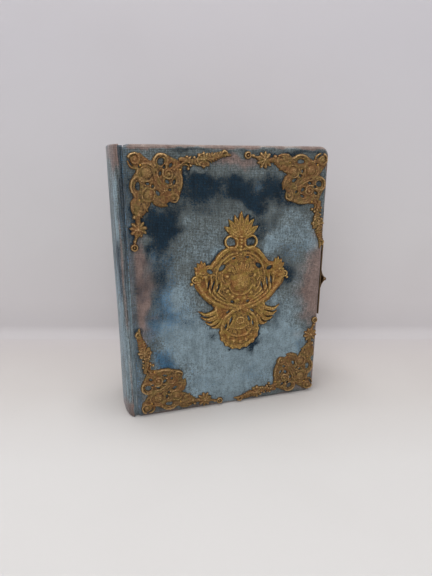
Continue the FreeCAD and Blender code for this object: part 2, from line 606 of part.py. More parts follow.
def case_screw_places():
    """Places of the panel's screws, in the middle of the walls."""
    inset = CASE_WALL / 2
    xs = (X_CASE + inset, (X_CASE + X_LEAF_FORE) / 2, X_LEAF_FORE - inset)
    return [(x, z) for x in xs for z in (Z_LEAF + inset, Z_LEAF_TOP - inset)]


def case_panel():
    """Thin panel over the movement, with a ring of sound holes."""
    panel = block(X_CASE, X_LEAF_FORE, Y_PANEL, Y_PANEL + CASE_PANEL, Z_LEAF, Z_LEAF_TOP)
    holes = []
    for i in range(SOUND_HOLES):
        angle = 2 * math.pi * i / SOUND_HOLES
        x = SOUND_X + SOUND_RING_R * math.cos(angle)
        z = Z_MOVEMENT + SOUND_RING_R * math.sin(angle)
        holes.append(rod(SOUND_HOLE_R, (x, Y_PANEL - 1, z), BACKWARD, CASE_PANEL + 2))
    holes.append(rod(SOUND_HOLE_R * 1.5, (SOUND_X, Y_PANEL - 1, Z_MOVEMENT), BACKWARD, CASE_PANEL + 2))
    return panel.cut(holes)


def sunk_screw(x, z):
    """Panel screw, with its head let in flush."""
    head = rod(2 * WOOD_SCREW_R, (x, Y_PANEL, z), BACKWARD, 1.2)
    return head.fuse(rod(WOOD_SCREW_R, (x, Y_PANEL, z), BACKWARD, CASE_PANEL + 8.0))


# ---------------------------------------------------------------- movement: frame
def bed_block(x0, x1, z0, z1, h0, h1):
    """A block at heights over the board."""
    return block(x0, x1, bed_y(h1), bed_y(h0), z0, z1)


def bed_rod(radius, x, z, h0, h1):
    """A round post at heights over the board."""
    return rod(radius, (x, bed_y(h0), z), -BACKWARD, h1 - h0)


def bed_screw_places():
    """Places of the four screws at the bedplate's corners."""
    dx, dz = BEDPLATE_X / 2 - 4.0, BEDPLATE_Z / 2 - 4.0
    return [(X_MOVEMENT + a * dx, Z_MOVEMENT + b * dz) for a in (-1, 1) for b in (-1, 1)]


def bedplate(foot_screws):
    """Plate that carries the movement."""
    plate = bed_block(X_MOVEMENT - BEDPLATE_X / 2, X_MOVEMENT + BEDPLATE_X / 2,
                      Z_MOVEMENT - BEDPLATE_Z / 2, Z_MOVEMENT + BEDPLATE_Z / 2, 0, BEDPLATE)
    plate = plate.makeFillet(3.0, [e for e in plate.Edges if abs(e.BoundBox.YLength - BEDPLATE) < 1e-6])
    holes = [bed_rod(WOOD_SCREW_R + 0.1, x, z, -1, BEDPLATE + 1) for x, z in bed_screw_places()]
    holes.append(bed_rod(WINDING_R + RUNNING, CYLINDER_X, BARREL_Z, -1, BEDPLATE + 1))
    holes += [bed_rod(METAL_SCREW_R, x, z, 0.4, BEDPLATE + 1) for x, z in foot_screws]
    return plate.cut(holes)


def cheese_screw(x, z, h_top, radius, length):
    """Slotted screw whose head sits at height h_top over the board."""
    head = bed_rod(2 * radius, x, z, h_top, h_top + radius)
    shank = bed_rod(radius, x, z, h_top - length, h_top)
    half = 2.5 * radius
    slot = bed_block(x - half, x + half, z - 0.25, z + 0.25, h_top + 0.6 * radius, h_top + 2 * radius)
    return head.fuse(shank).cut(slot)


def bearing_plate(x0, x1, z0, way, shafts):
    """Upright plate with a foot on one side. shafts lists x and radius of what turns in it."""
    plate = bed_block(x0, x1, z0, z0 + FRAME_PLATE, BEDPLATE, CYLINDER_AXIS + 5.0)
    low, high = (z0, z0 + FRAME_PLATE + FOOT_FLANGE) if way > 0 else (z0 - FOOT_FLANGE, z0 + FRAME_PLATE)
    plate = plate.fuse(bed_block(x0, x1, low, high, BEDPLATE, BEDPLATE + FOOT_PLATE))
    holes = [rod(r + RUNNING, (x, bed_y(CYLINDER_AXIS), z0 - 1), UP, FRAME_PLATE + 2) for x, r in shafts]
    holes += [bed_rod(METAL_SCREW_R, x, z, BEDPLATE - 1, BEDPLATE + FOOT_PLATE + 1)
              for x, z in plate_screws(x0, x1, z0, way)]
    return plate.removeSplitter().cut(holes)


def plate_screws(x0, x1, z0, way):
    """Places of the two screws in a bearing plate's foot."""
    z = z0 + FRAME_PLATE / 2 + way * (FRAME_PLATE + FOOT_FLANGE) / 2
    return [(x0 + 3.0, z), (x1 - 3.0, z)]


# ---------------------------------------------------------------- movement: wheels
def wheel(teeth, module, x, z0, thickness, phase_deg):
    """A toothed wheel about an upright axis at cylinder height, with slim straight-sided teeth."""
    pitch = 2 * math.pi / teeth
    root, tip = module * (teeth / 2 - 1.2), module * (teeth / 2 + 0.9)
    y = bed_y(CYLINDER_AXIS)
    outline = []
    for i in range(teeth):
        middle = math.radians(phase_deg) + i * pitch
        for radius, share in ((root, -0.23), (tip, -0.08), (tip, 0.08), (root, 0.23)):
            angle = middle + share * pitch
            outline.append((x + radius * math.cos(angle), y + radius * math.sin(angle), z0))
    return polygon(outline).extrude(Vector(0, 0, thickness))


def crown_wheel():
    """Barrel lid with a ring of upright teeth that drive the cylinder's pinion."""
    lid = bed_rod(BARREL_R, CYLINDER_X, BARREL_Z, CROWN_ROOT_H - BARREL_WALL, CROWN_ROOT_H)
    lid = lid.cut(bed_rod(WINDING_R + RUNNING, CYLINDER_X, BARREL_Z, 0, CROWN_TIP_H))
    pitch = CROWN_MODULE * math.pi
    root, tip = 0.23 * pitch, 0.08 * pitch
    r0, r1 = CROWN_RADIUS - CROWN_FACE / 2, CROWN_RADIUS + CROWN_FACE / 2
    x, y0, y1, z = CYLINDER_X, bed_y(CROWN_ROOT_H - 0.3), bed_y(CROWN_TIP_H), BARREL_Z + r0
    tooth = polygon([(x - root, y0, z), (x + root, y0, z), (x + tip, y1, z), (x - tip, y1, z)])
    tooth = tooth.extrude(Vector(0, 0, r1 - r0))
    teeth = []
    for i in range(CROWN_TEETH):
        copy = tooth.copy()
        copy.rotate(Vector(x, 0, BARREL_Z), BACKWARD, 360.0 * i / CROWN_TEETH)
        teeth.append(copy)
    return lid.multiFuse(teeth)


def barrel():
    """Spring barrel with a floor."""
    outer = bed_rod(BARREL_R, CYLINDER_X, BARREL_Z, BARREL_BASE, CROWN_ROOT_H - BARREL_WALL)
    inner = bed_rod(BARREL_R - BARREL_WALL, CYLINDER_X, BARREL_Z, BARREL_BASE + BARREL_WALL, CROWN_ROOT_H)
    return outer.cut([inner, bed_rod(WINDING_R + RUNNING, CYLINDER_X, BARREL_Z, 0, CROWN_ROOT_H)])


def mainspring():
    """Flat spiral of half circles inside the barrel."""
    strip, gap, turns = 0.45, 1.2, 8
    y = bed_y(BARREL_BASE + BARREL_WALL + PLAY / 2)
    height = CROWN_ROOT_H - 2 * BARREL_WALL - BARREL_BASE - PLAY
    last = BARREL_R - BARREL_WALL - 0.1 - strip

    def half_turns(offset):
        arcs = []
        x = CYLINDER_X
        outer = last + offset
        for i in range(2 * turns):
            way = 1 if i % 2 == 0 else -1
            start = Vector(x + way * outer, y, BARREL_Z)
            nearer = outer - gap / 4
            centre = x + way * gap / 4
            middle = Vector(centre, y, BARREL_Z + way * nearer)
            end = Vector(centre - way * nearer, y, BARREL_Z)
            arcs.append(Part.Arc(start, middle, end).toShape())
            x, outer = centre, nearer
        return arcs

    outside, inside = half_turns(strip), half_turns(0.0)
    caps = [Part.LineSegment(outside[end].Vertexes[end].Point, inside[end].Vertexes[end].Point).toShape()
            for end in (0, -1)]
    wire = Part.Wire(Part.__sortEdges__([*outside, caps[1], *inside, caps[0]]))
    return Part.Face(wire).extrude(Vector(0, -height, 0))


def barrel_bridge():
    """Bridge over the barrel that holds the winding arbor's end and the click."""
    reach, half = BRIDGE_POST + 3.2, 5.0
    top = bed_block(CYLINDER_X - reach, CYLINDER_X + reach, BARREL_Z - half, BARREL_Z + half,
                    BRIDGE_H, BRIDGE_H + BRIDGE_PLATE)
    posts = [bed_rod(3.2, CYLINDER_X + way * BRIDGE_POST, BARREL_Z, BEDPLATE, BRIDGE_H) for way in (-1, 1)]
    bridge = joined([top, *posts])
    holes = [bed_rod(METAL_SCREW_R, CYLINDER_X + way * BRIDGE_POST, BARREL_Z, BRIDGE_H - 5, BRIDGE_H + 3)
             for way in (-1, 1)]
    holes.append(bed_rod(WINDING_R + RUNNING, CYLINDER_X, BARREL_Z, BRIDGE_H - 1, BRIDGE_H + 3))
    holes.append(bed_rod(METAL_SCREW_R, CLICK_X, BARREL_Z, BRIDGE_H - 1, BRIDGE_H + 3))
    return bridge.cut(holes)


def ratchet():
    """Saw-toothed wheel on the winding arbor."""
    outline = []
    for i in range(RATCHET_TEETH):
        for share, radius in ((0.0, RATCHET_R), (0.12, RATCHET_R - 1.1)):
            angle = 2 * math.pi * (i + share) / RATCHET_TEETH
            x, z = CYLINDER_X + radius * math.cos(angle), BARREL_Z + radius * math.sin(angle)
            outline.append((x, bed_y(RATCHET_H), z))
    disc = polygon(outline).extrude(Vector(0, -RATCHET_THICKNESS, 0))
    return disc.cut(bed_rod(WINDING_R, CYLINDER_X, BARREL_Z, RATCHET_H - 1, RATCHET_H + 5))


def click():
    """Click on its stud beside the ratchet, lifted just clear of the teeth."""
    body = bed_rod(2.4, CLICK_X, BARREL_Z, RATCHET_H, RATCHET_H + RATCHET_THICKNESS)
    nose_x = CYLINDER_X + (RATCHET_R + CLICK_LIFT) * math.cos(CLICK_ANGLE)
    nose_z = BARREL_Z + (RATCHET_R + CLICK_LIFT) * math.sin(CLICK_ANGLE)
    y = bed_y(RATCHET_H)
    arm = polygon([(CLICK_X - 0.6, y, BARREL_Z + 2.3), (nose_x - 0.2, y, nose_z + 1.6), (nose_x, y, nose_z),
                   (CLICK_X + 2.0, y, BARREL_Z + 1.2)]).extrude(Vector(0, -RATCHET_THICKNESS, 0))
    return joined([body, arm]).cut(bed_rod(METAL_SCREW_R + RUNNING, CLICK_X, BARREL_Z, 0, RATCHET_H + 5))


def winding_arbor():
    """Arbor from the key to the ratchet."""
    return bed_rod(WINDING_R, CYLINDER_X, BARREL_Z, -KEY_REACH, RATCHET_H + RATCHET_THICKNESS + 0.4)


def winding_key():
    """Wing key that sits in the recess of the back cover."""
    h0 = -(CUP_WALL + PLAY)
    h1 = -(Y_BACK - Y_BED + KEY_PROUD)
    hub = bed_rod(KEY_HUB_R, CYLINDER_X, BARREL_Z, h1, h0)
    wings = bed_block(CYLINDER_X - KEY_WING, CYLINDER_X + KEY_WING, BARREL_Z - 1, BARREL_Z + 1,
                      h1, h0 - 1.5)
    tips = [e for e in wings.Edges if abs(e.BoundBox.ZLength - 2) < 1e-6 and e.BoundBox.XLength < 1e-6
            and e.BoundBox.YLength < 1e-6]
    wings = wings.makeFillet(3.0, tips)
    return joined([hub, wings]).cut(bed_rod(WINDING_R, CYLINDER_X, BARREL_Z, -KEY_REACH, 1))


def key_cup():
    """Brass cup that lines the key's recess in the back cover."""
    deep = Y_BACK - Y_BED
    cup = bed_rod(CUP_R, CYLINDER_X, BARREL_Z, -deep, 0)
    flange = bed_rod(CUP_R + CUP_FLANGE, CYLINDER_X, BARREL_Z, -deep - CUP_LIP, -deep)
    cup = cup.fuse(flange).removeSplitter()
    cup = cup.cut(bed_rod(CUP_R - CUP_WALL, CYLINDER_X, BARREL_Z, -deep - CUP_LIP - 1, -CUP_WALL))
    return cup.cut(bed_rod(WINDING_R + RUNNING, CYLINDER_X, BARREL_Z, -CUP_WALL - 1, 1))


def cylinder_sleeve():
    """Brass cylinder, closed at both ends, with its tune pins."""
    y = bed_y(CYLINDER_AXIS)
    z0, z1 = CYLINDER_Z0, CYLINDER_Z0 + CYLINDER_LENGTH
    outer = rod(CYLINDER_R, (CYLINDER_X, y, z0), UP, CYLINDER_LENGTH)
    inside = CYLINDER_LENGTH - 2 * CYLINDER_WALL
    hollow = rod(CYLINDER_R - CYLINDER_WALL, (CYLINDER_X, y, z0 + CYLINDER_WALL), UP, inside)
    pins = []
    for i in range(PINS):
        angle = math.radians(i * 137.5)
        z = (z0 + z1) / 2 + (i % COMB_TEETH - (COMB_TEETH - 1) / 2) * COMB_PITCH
        way = Vector(math.cos(angle), math.sin(angle), 0)
        root = Vector(CYLINDER_X, y, z) + way * (CYLINDER_R - CYLINDER_WALL / 2)
        pins.append(rod(PIN_R, tuple(root), way, CYLINDER_WALL / 2 + PIN_HEIGHT))
    arbor_hole = rod(ARBOR_R, (CYLINDER_X, y, z0 - 1), UP, CYLINDER_LENGTH + 2)
    return outer.cut(hollow).multiFuse(pins).cut(arbor_hole)


def cylinder_arbor():
    """The cylinder's arbor with its pinion at the tail end."""
    y = bed_y(CYLINDER_AXIS)
    z0 = BARREL_Z + CROWN_RADIUS - PINION_FACE / 2
    z1 = GREAT_Z + WHEEL_THICKNESS
    shaft = rod(ARBOR_R, (CYLINDER_X, y, z0), UP, z1 - z0)
    return joined([shaft, wheel(PINION_TEETH, CROWN_MODULE, CYLINDER_X, z0, PINION_FACE, 30)])


def great_wheel():
    """Wheel at the head end of the cylinder's arbor."""
    disc = wheel(GREAT_TEETH, GREAT_MODULE, CYLINDER_X, GREAT_Z, WHEEL_THICKNESS, 0)
    return disc.cut(rod(ARBOR_R, (CYLINDER_X, bed_y(CYLINDER_AXIS), GREAT_Z - 1), UP, WHEEL_THICKNESS + 2))


def governor_wheel():
    """Governor arbor with its pinion and wheel."""
    y = bed_y(CYLINDER_AXIS)
    length = OUTER_PLATE_Z + FRAME_PLATE - HEAD_BEARING_Z
    shaft = rod(TRAIN_ARBOR_R, (GOVERNOR_X, y, HEAD_BEARING_Z), UP, length)
    pinion = wheel(GOVERNOR_PINION_TEETH, GREAT_MODULE, GOVERNOR_X, GREAT_Z - 0.3,
                   WHEEL_THICKNESS + 0.6, 18)
    disc = wheel(GOVERNOR_TEETH, FLY_MODULE, GOVERNOR_X, GOVERNOR_Z, WHEEL_THICKNESS, 0)
    return joined([shaft, pinion, disc])


def fly():
    """Air brake: an arbor with a pinion and two vanes."""
    y = bed_y(CYLINDER_AXIS)
    shaft = rod(TRAIN_ARBOR_R, (FLY_X, y, HEAD_BEARING_Z), UP, OUTER_PLATE_Z + FRAME_PLATE - HEAD_BEARING_Z)
    pinion = wheel(FLY_PINION_TEETH, FLY_MODULE, FLY_X, GOVERNOR_Z - 0.3, WHEEL_THICKNESS + 0.6, 22.5)
    vanes = block(FLY_X - FLY_R, FLY_X + FLY_R, y - 0.3, y + 0.3, FLY_Z, FLY_Z + VANE_LENGTH)
    return joined([shaft, pinion, vanes])


# ---------------------------------------------------------------- movement: comb and stop slide
def comb_base():
    """Brass block under the comb."""
    base = bed_block(COMB_X0, COMB_X1, COMB_Z0, COMB_Z1, BEDPLATE, COMB_H)
    return base.cut([bed_rod(METAL_SCREW_R, x, z, COMB_H - 6, COMB_H + 1) for x, z in comb_screw_places()])


def comb_screw_places():
    """Places of the comb's screws."""
    x = (COMB_X0 + COMB_X1) / 2
    step = (COMB_Z1 - COMB_Z0) / COMB_SCREWS
    return [(x, COMB_Z0 + step * (i + 0.5)) for i in range(COMB_SCREWS)]


def comb():
    """Steel comb whose teeth reach to the cylinder's pins."""
    tip = CYLINDER_X - CYLINDER_R - PIN_HEIGHT - PIN_CLEARANCE
    heel = bed_block(COMB_X0, COMB_X1, COMB_Z0, COMB_Z1, COMB_H, COMB_H + 2)
    blade = bed_block(COMB_X1 - 1, tip, COMB_Z0, COMB_Z1, COMB_H + 0.3, COMB_H + 1.3)
    slots = [bed_block(COMB_X1, tip + 1, z - COMB_SLOT / 2, z + COMB_SLOT / 2, COMB_H - 1, COMB_H + 3)
             for z in (COMB_Z0 + COMB_PITCH * i for i in range(1, COMB_TEETH))]
    screws = [bed_rod(METAL_SCREW_R + 0.1, x, z, COMB_H - 1, COMB_H + 3) for x, z in comb_screw_places()]
    return joined([heel, blade]).cut(slots + screws)


def stop_slide():
    """Strip through the fore wall that stops the fly when it is pushed in."""
    inner = FLY_X + FLY_R + STOP_TRAVEL + PLAY
    neck = X_LEAF_FORE + STOP_TRAVEL + PLAY
    strip = bed_block(inner, neck, STOP_Z - STOP_HALF, STOP_Z + STOP_HALF,
                      CYLINDER_AXIS - STOP_SHEET / 2, CYLINDER_AXIS + STOP_SHEET / 2)
    button = rod(2 * STOP_SHEET, (neck - 0.2, bed_y(CYLINDER_AXIS), STOP_Z), RIGHT, 1.4)
    return joined([strip, button])


def stop_slot():
    """Opening in the fore wall that guides the stop slide."""
    half = STOP_HALF + RUNNING
    return bed_block(X_LEAF_FORE - CASE_WALL - 1, X_LEAF_FORE + 1, STOP_Z - half, STOP_Z + half,
                     CYLINDER_AXIS - STOP_SHEET / 2 - RUNNING, CYLINDER_AXIS + STOP_SHEET / 2 + RUNNING)


# ---------------------------------------------------------------- the whole album
def bound_covers(parts, mount_nails, front_pins, back_pins):
    """Both covers, drilled for what is nailed or screwed into them."""
    board, velvet, lining = cover_parts(Y_FRONT, -1)
    nail_holes = [rod(NAIL_R, (x, Y_FRONT - 1, z), BACKWARD, NAIL_LENGTH + 1) for x, z in mount_nails]
    holes = nail_holes + front_pins
    parts.update(front_board=board.cut(holes), front_velvet=velvet.cut(holes), front_lining=lining)
    board, velvet, lining = cover_parts(Y_BACK, 1)
    key_hole = bed_rod(CUP_R, CYLINDER_X, BARREL_Z, -(Y_BACK - Y_BED), 0)
    studs = [rod(FOOT_STUD_R, (x, Y_BACK, z), -BACKWARD, FOOT_STUD_LENGTH) for x, z in foot_places()]
    screws = [bed_rod(WOOD_SCREW_R, x, z, BEDPLATE - WOOD_SCREW_LENGTH, 0) for x, z in bed_screw_places()]
    parts["back_board"] = board.cut([key_hole, *studs, *screws, *back_pins])
    parts["back_velvet"] = velvet.cut([key_hole, *studs, *back_pins])
    parts["back_lining"] = lining.cut([key_hole, *screws])


def foot_places():
    """Places of the four feet on the back cover."""
    return [(x, z) for z in (FOOT_INSET, BOARD_HEIGHT - FOOT_INSET)
            for x in (X_COVER + FOOT_INSET, X_FORE - FOOT_INSET)]


def movement(parts):
    """The cylinder movement on its bedplate."""
    axle = (CYLINDER_X, ARBOR_R)
    train = [(GOVERNOR_X, TRAIN_ARBOR_R), (FLY_X, TRAIN_ARBOR_R)]
    plates = {
        "tail_bearing": (CYLINDER_X - 8.0, CYLINDER_X + 8.0, TAIL_BEARING_Z, 1, [axle]),
        "head_bearing": (CYLINDER_X - 6.0, FLY_X + 4.5, HEAD_BEARING_Z, -1, [axle, *train]),
        "governor_plate": (GOVERNOR_X - 4.5, FLY_X + 4.5, OUTER_PLATE_Z, -1, train),
    }
    parts.update({name: bearing_plate(*sizes) for name, sizes in plates.items()})
    feet = [place for *sizes, _ in plates.values() for place in plate_screws(*sizes)]
    parts["bedplate"] = bedplate(feet)
    bridge_top = BRIDGE_H + BRIDGE_PLATE
    bridge_screws = [cheese_screw(CYLINDER_X + way * BRIDGE_POST, BARREL_Z, bridge_top, METAL_SCREW_R, 5)
                     for way in (-1, 1)]
    parts["frame_screws"] = Part.makeCompound(bridge_screws + [
        cheese_screw(x, z, BEDPLATE + FOOT_PLATE, METAL_SCREW_R, FOOT_PLATE + 2) for x, z in feet])
    parts["bed_screws"] = Part.makeCompound([
        cheese_screw(x, z, BEDPLATE, WOOD_SCREW_R, WOOD_SCREW_LENGTH) for x, z in bed_screw_places()])
    parts["comb_screws"] = Part.makeCompound([
        cheese_screw(x, z, COMB_H + 2, METAL_SCREW_R, 6) for x, z in comb_screw_places()])
    stud_top = RATCHET_H + RATCHET_THICKNESS + RUNNING
    parts["click_stud"] = cheese_screw(CLICK_X, BARREL_Z, stud_top, METAL_SCREW_R, stud_top - BRIDGE_H)
    pieces = (comb_base, comb, barrel, crown_wheel, mainspring, barrel_bridge, ratchet, click,
              winding_arbor, winding_key, key_cup, cylinder_sleeve, cylinder_arbor, great_wheel,
              governor_wheel, fly, stop_slide)
    parts.update({make.__name__: make() for make in pieces})


def album():
    """Every node of the album by name."""
    parts = {}
    nails = []
    corners = {
        "corner_head_spine": (X_HINGE + MOUNT_FROM_HINGE, BOARD_HEIGHT - MOUNT_FROM_HEAD, 1, -1),
        "corner_head_fore": (X_FORE - MOUNT_FROM_FORE, BOARD_HEIGHT - MOUNT_FROM_HEAD, -1, -1),
        "corner_tail_spine": (X_HINGE + MOUNT_FROM_HINGE, MOUNT_FROM_TAIL, 1, 1),
        "corner_tail_fore": (X_FORE - MOUNT_FROM_FORE, MOUNT_FROM_TAIL, -1, 1),
    }
    for name, (x, z, way_x, way_z) in corners.items():
        parts[name], places = corner_solids(x, z, way_x, way_z, Y_FRONT)
        nails += places
    parts["medallion"], places = medallion()
    nails += places
    parts["mount_nails"] = Part.makeCompound([nail(x, z, Y_FRONT) for x, z in nails])

    catch, front_pins = clasp_plate(Y_FRONT)
    hinge, back_pins = clasp_hinge_plate()
    parts["catch_plate"] = catch.cut(front_pins)
    parts["catch_pins"] = Part.makeCompound(front_pins)
    parts["clasp_hinge_plate"] = hinge.cut(back_pins)
    parts["clasp_hinge_pins"] = Part.makeCompound(back_pins)
    parts["clasp_strap"] = clasp_strap()
    parts["clasp_pin"] = clasp_pin()

    bound_covers(parts, nails, front_pins, back_pins)
    parts["spine_board"] = spine_board()
    parts["spine_velvet"] = spine_velvet()
    parts["spine_hollow"] = spine_hollow()
    parts["guard_cloth"] = guard_cloth()
    parts["leaf_block"] = leaf_block()
    for i, (x, z) in enumerate(foot_places(), 1):
        parts[f"foot_{i}"] = foot(x, z)

    panel_screws = [sunk_screw(x, z) for x, z in case_screw_places()]
    walls = case_walls()
    walls["case_fore_wall"] = walls["case_fore_wall"].cut(stop_slot())
    parts.update({name: wall.cut(panel_screws) for name, wall in walls.items()})
    parts["case_panel"] = case_panel().cut(panel_screws)
    parts["panel_screws"] = Part.makeCompound(panel_screws)
    movement(parts)
    return parts


os.makedirs("parts", exist_ok=True)
for node, shape in album().items():
    shape.exportStep(f"parts/{node}.step")
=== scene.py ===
"""Looks of a musical photograph album in worn blue velvet with stamped gilt mounts.

The album stands on its tail edge. +X runs from the spine to the fore-edge, +Y from the front cover
to the back cover and +Z up. Sizes in the classes are millimetres; meshes are written in metres.
"""

import json
import logging
import math
from collections.abc import Callable, Iterator
from contextlib import contextmanager
from dataclasses import dataclass
from enum import Enum

import bmesh
import bpy
import numpy as np
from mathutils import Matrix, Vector
from mathutils.kdtree import KDTree

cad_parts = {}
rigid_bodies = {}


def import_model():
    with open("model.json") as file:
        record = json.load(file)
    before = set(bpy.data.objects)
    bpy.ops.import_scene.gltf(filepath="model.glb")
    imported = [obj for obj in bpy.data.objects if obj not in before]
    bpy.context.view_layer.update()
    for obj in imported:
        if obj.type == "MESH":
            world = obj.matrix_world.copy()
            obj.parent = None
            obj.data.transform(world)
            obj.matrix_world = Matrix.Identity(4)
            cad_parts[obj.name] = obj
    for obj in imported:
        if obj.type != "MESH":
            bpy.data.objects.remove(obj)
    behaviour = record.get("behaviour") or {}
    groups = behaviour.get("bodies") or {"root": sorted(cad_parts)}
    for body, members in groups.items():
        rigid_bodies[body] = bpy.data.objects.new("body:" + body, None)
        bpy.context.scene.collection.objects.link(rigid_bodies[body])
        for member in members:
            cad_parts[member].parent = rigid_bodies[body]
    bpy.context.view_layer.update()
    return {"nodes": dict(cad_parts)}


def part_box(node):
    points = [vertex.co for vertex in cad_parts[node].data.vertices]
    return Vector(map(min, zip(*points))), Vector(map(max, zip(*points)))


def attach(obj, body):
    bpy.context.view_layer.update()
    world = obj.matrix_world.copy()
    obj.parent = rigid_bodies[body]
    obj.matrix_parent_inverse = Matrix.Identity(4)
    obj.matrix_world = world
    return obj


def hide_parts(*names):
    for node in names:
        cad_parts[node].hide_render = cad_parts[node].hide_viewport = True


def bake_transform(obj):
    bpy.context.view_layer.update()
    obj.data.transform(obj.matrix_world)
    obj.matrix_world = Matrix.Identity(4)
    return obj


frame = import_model()

log = logging.getLogger("album")
MM = 0.001
JOINT_GAP = 2.5
MEDALLION_ACROSS, MEDALLION_UP = 116.5, 146.0
Array = np.ndarray
Point2 = tuple[float, float]
Triple = tuple[float, float, float]
Colour = tuple[float, float, float]
Box = tuple[float, float, float, float]
Node = bpy.types.Node
Socket = bpy.types.NodeSocket
Thing = bpy.types.Object
Material = bpy.types.Material


def linear(red: float, green: float, blue: float) -> Colour:
    """Turn a display colour, 0 to 255 each, into the linear values that shaders take."""
    values = (v / 255 for v in (red, green, blue))
    return tuple(v / 12.92 if v <= 0.04045 else ((v + 0.055) / 1.055) ** 2.4 for v in values)


def corners(node: str) -> tuple[Array, Array]:
    """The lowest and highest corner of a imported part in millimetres."""
    low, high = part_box(node)
    return np.array(low) / MM, np.array(high) / MM


# ------------------------------------------------------------------------------------- node wiring
class Graph:
    """A node tree that is being wired."""

    def __init__(self, tree: bpy.types.NodeTree) -> None:
        """Start on an existing shader or geometry tree."""
        self.tree = tree

    def node(self, kind: str, **settings: object) -> Node:
        """Add a node.

        Args:
            kind: The node's type name.
            settings: Properties set on the node.

        Returns:
            The new node.
        """
        count = len(self.tree.nodes)
        made = self.tree.nodes.new(kind)
        made.location = (180 * (count % 12), -220 * (count // 12))
        for name, value in settings.items():
            setattr(made, name, value)
        return made

    def feed(self, socket: Socket, value: object) -> None:
        """Link a socket to another one, or set its own value.

        Args:
            socket: The input.
            value: A socket, a number, a colour or another plain value.
        """
        if isinstance(value, Socket):
            self.tree.links.new(value, socket)
        elif socket.type == "RGBA" and len(value) == 3:
            socket.default_value = (*value, 1.0)
        else:
            socket.default_value = value

    def fill(self, node: Node, **values: object) -> Node:
        """Feed inputs by name, with spaces written as underscores.

        Args:
            node: The node.
            values: Its inputs' names and what they get.

        Returns:
            The same node.
        """
        for name, value in values.items():
            self.feed(node.inputs[name.replace("_", " ")], value)
        return node

    def math(self, operation: str, first: object, second: object, clamp: bool = False) -> Socket:
        """A Math node's result.

        Args:
            operation: The node's operation.
            first, second: Sockets or numbers.
            clamp: Whether the result is kept between 0 and 1.

        Returns:
            The value socket.
        """
        made = self.node("ShaderNodeMath", operation=operation, use_clamp=clamp)
        self.feed(made.inputs[0], first)
        self.feed(made.inputs[1], second)
        return made.outputs[0]

    def times(self, first: object, second: object, clamp: bool = False) -> Socket:
        """One value times another."""
        return self.math("MULTIPLY", first, second, clamp)

    def plus(self, first: object, second: object) -> Socket:
        """One value and another."""
        return self.math("ADD", first, second)

    def less(self, first: object, second: object, clamp: bool = False) -> Socket:
        """One value less another."""
        return self.math("SUBTRACT", first, second, clamp)

    def about(self, value: Socket, middle: float, factor: float, clamp: bool = False) -> Socket:
        """How far a value is above its middle, times a factor."""
        return self.times(self.less(value, middle), factor, clamp)

    def line(self, value: Socket, slope: float, start: object) -> Socket:
        """A value times the slope, and the start.

        Args:
            value, slope, start: Sockets or numbers.

        Returns:
            The value socket.
        """
        made = self.math("MULTIPLY_ADD", value, slope)
        self.feed(made.node.inputs[2], start)
        return made

    def mix(self, factor: object, first: object, second: object) -> Socket:
        """Two colours mixed.

        Args:
            factor: How much of the second colour.
            first, second: Sockets or linear colours.

        Returns:
            The colour socket.
        """
        made = self.node("ShaderNodeMix", data_type="RGBA")
        for index, value in ((0, factor), (6, first), (7, second)):
            self.feed(made.inputs[index], value)
        return made.outputs[2]

    def step(self, value: object, low: float, high: float) -> Socket:
        """A smooth rise from 0 to 1.

        Args:
            value: What it follows.
            low, high: The values that give 0 and 1.

        Returns:
            The value socket.
        """
        made = self.node("ShaderNodeMapRange", interpolation_type="SMOOTHSTEP")
        for index, given in enumerate((value, low, high)):
            self.feed(made.inputs[index], given)
        return made.outputs[0]

    def ramp(self, value: object, stops: list[tuple[float, Colour]]) -> Socket:
        """A colour read off a row of stops.

        Args:
            value: Where to read, 0 to 1.
            stops: Positions and linear colours, lowest first.

        Returns:
            The colour socket.
        """
        made = self.node("ShaderNodeValToRGB")
        strip = made.color_ramp
        while len(strip.elements) < len(stops):
            strip.elements.new(0.5)
        for element, (position, colour) in zip(strip.elements, stops):
            element.position = position
            element.color = (*colour, 1.0)
        self.feed(made.inputs[0], value)
        return made.outputs[0]

    def noise(self, place: object, scale: float, detail: float = 3.0,
              roughness: float = 0.55) -> Socket:
        """Cloudy noise read at a place, with so many clouds per metre."""
        return self.fill(self.node("ShaderNodeTexNoise"), Vector=place, Scale=scale,
                         Detail=detail, Roughness=roughness).outputs[0]

    def stretched(self, place: object, sizes: Triple) -> Socket:
        """The place with each axis scaled, for patterns that run one way."""
        return self.fill(self.node("ShaderNodeMapping"), Vector=place, Scale=sizes).outputs[0]

    def wave(self, direction: str, **values: object) -> Socket:
        """Parallel bands across X, Y or Z, with the texture's inputs given by name."""
        made = self.node("ShaderNodeTexWave", wave_type="BANDS", bands_direction=direction)
        return self.fill(made, **values).outputs[1]


class Effect(Enum):
    """Surface effects that several finishes share, each built once as a group."""

    CLOTH = "worn_cloth"
    MOTTLE = "mottle"
    FIBRE = "fibre"
    RUBBED = "rubbed"
    GRIME = "grime"


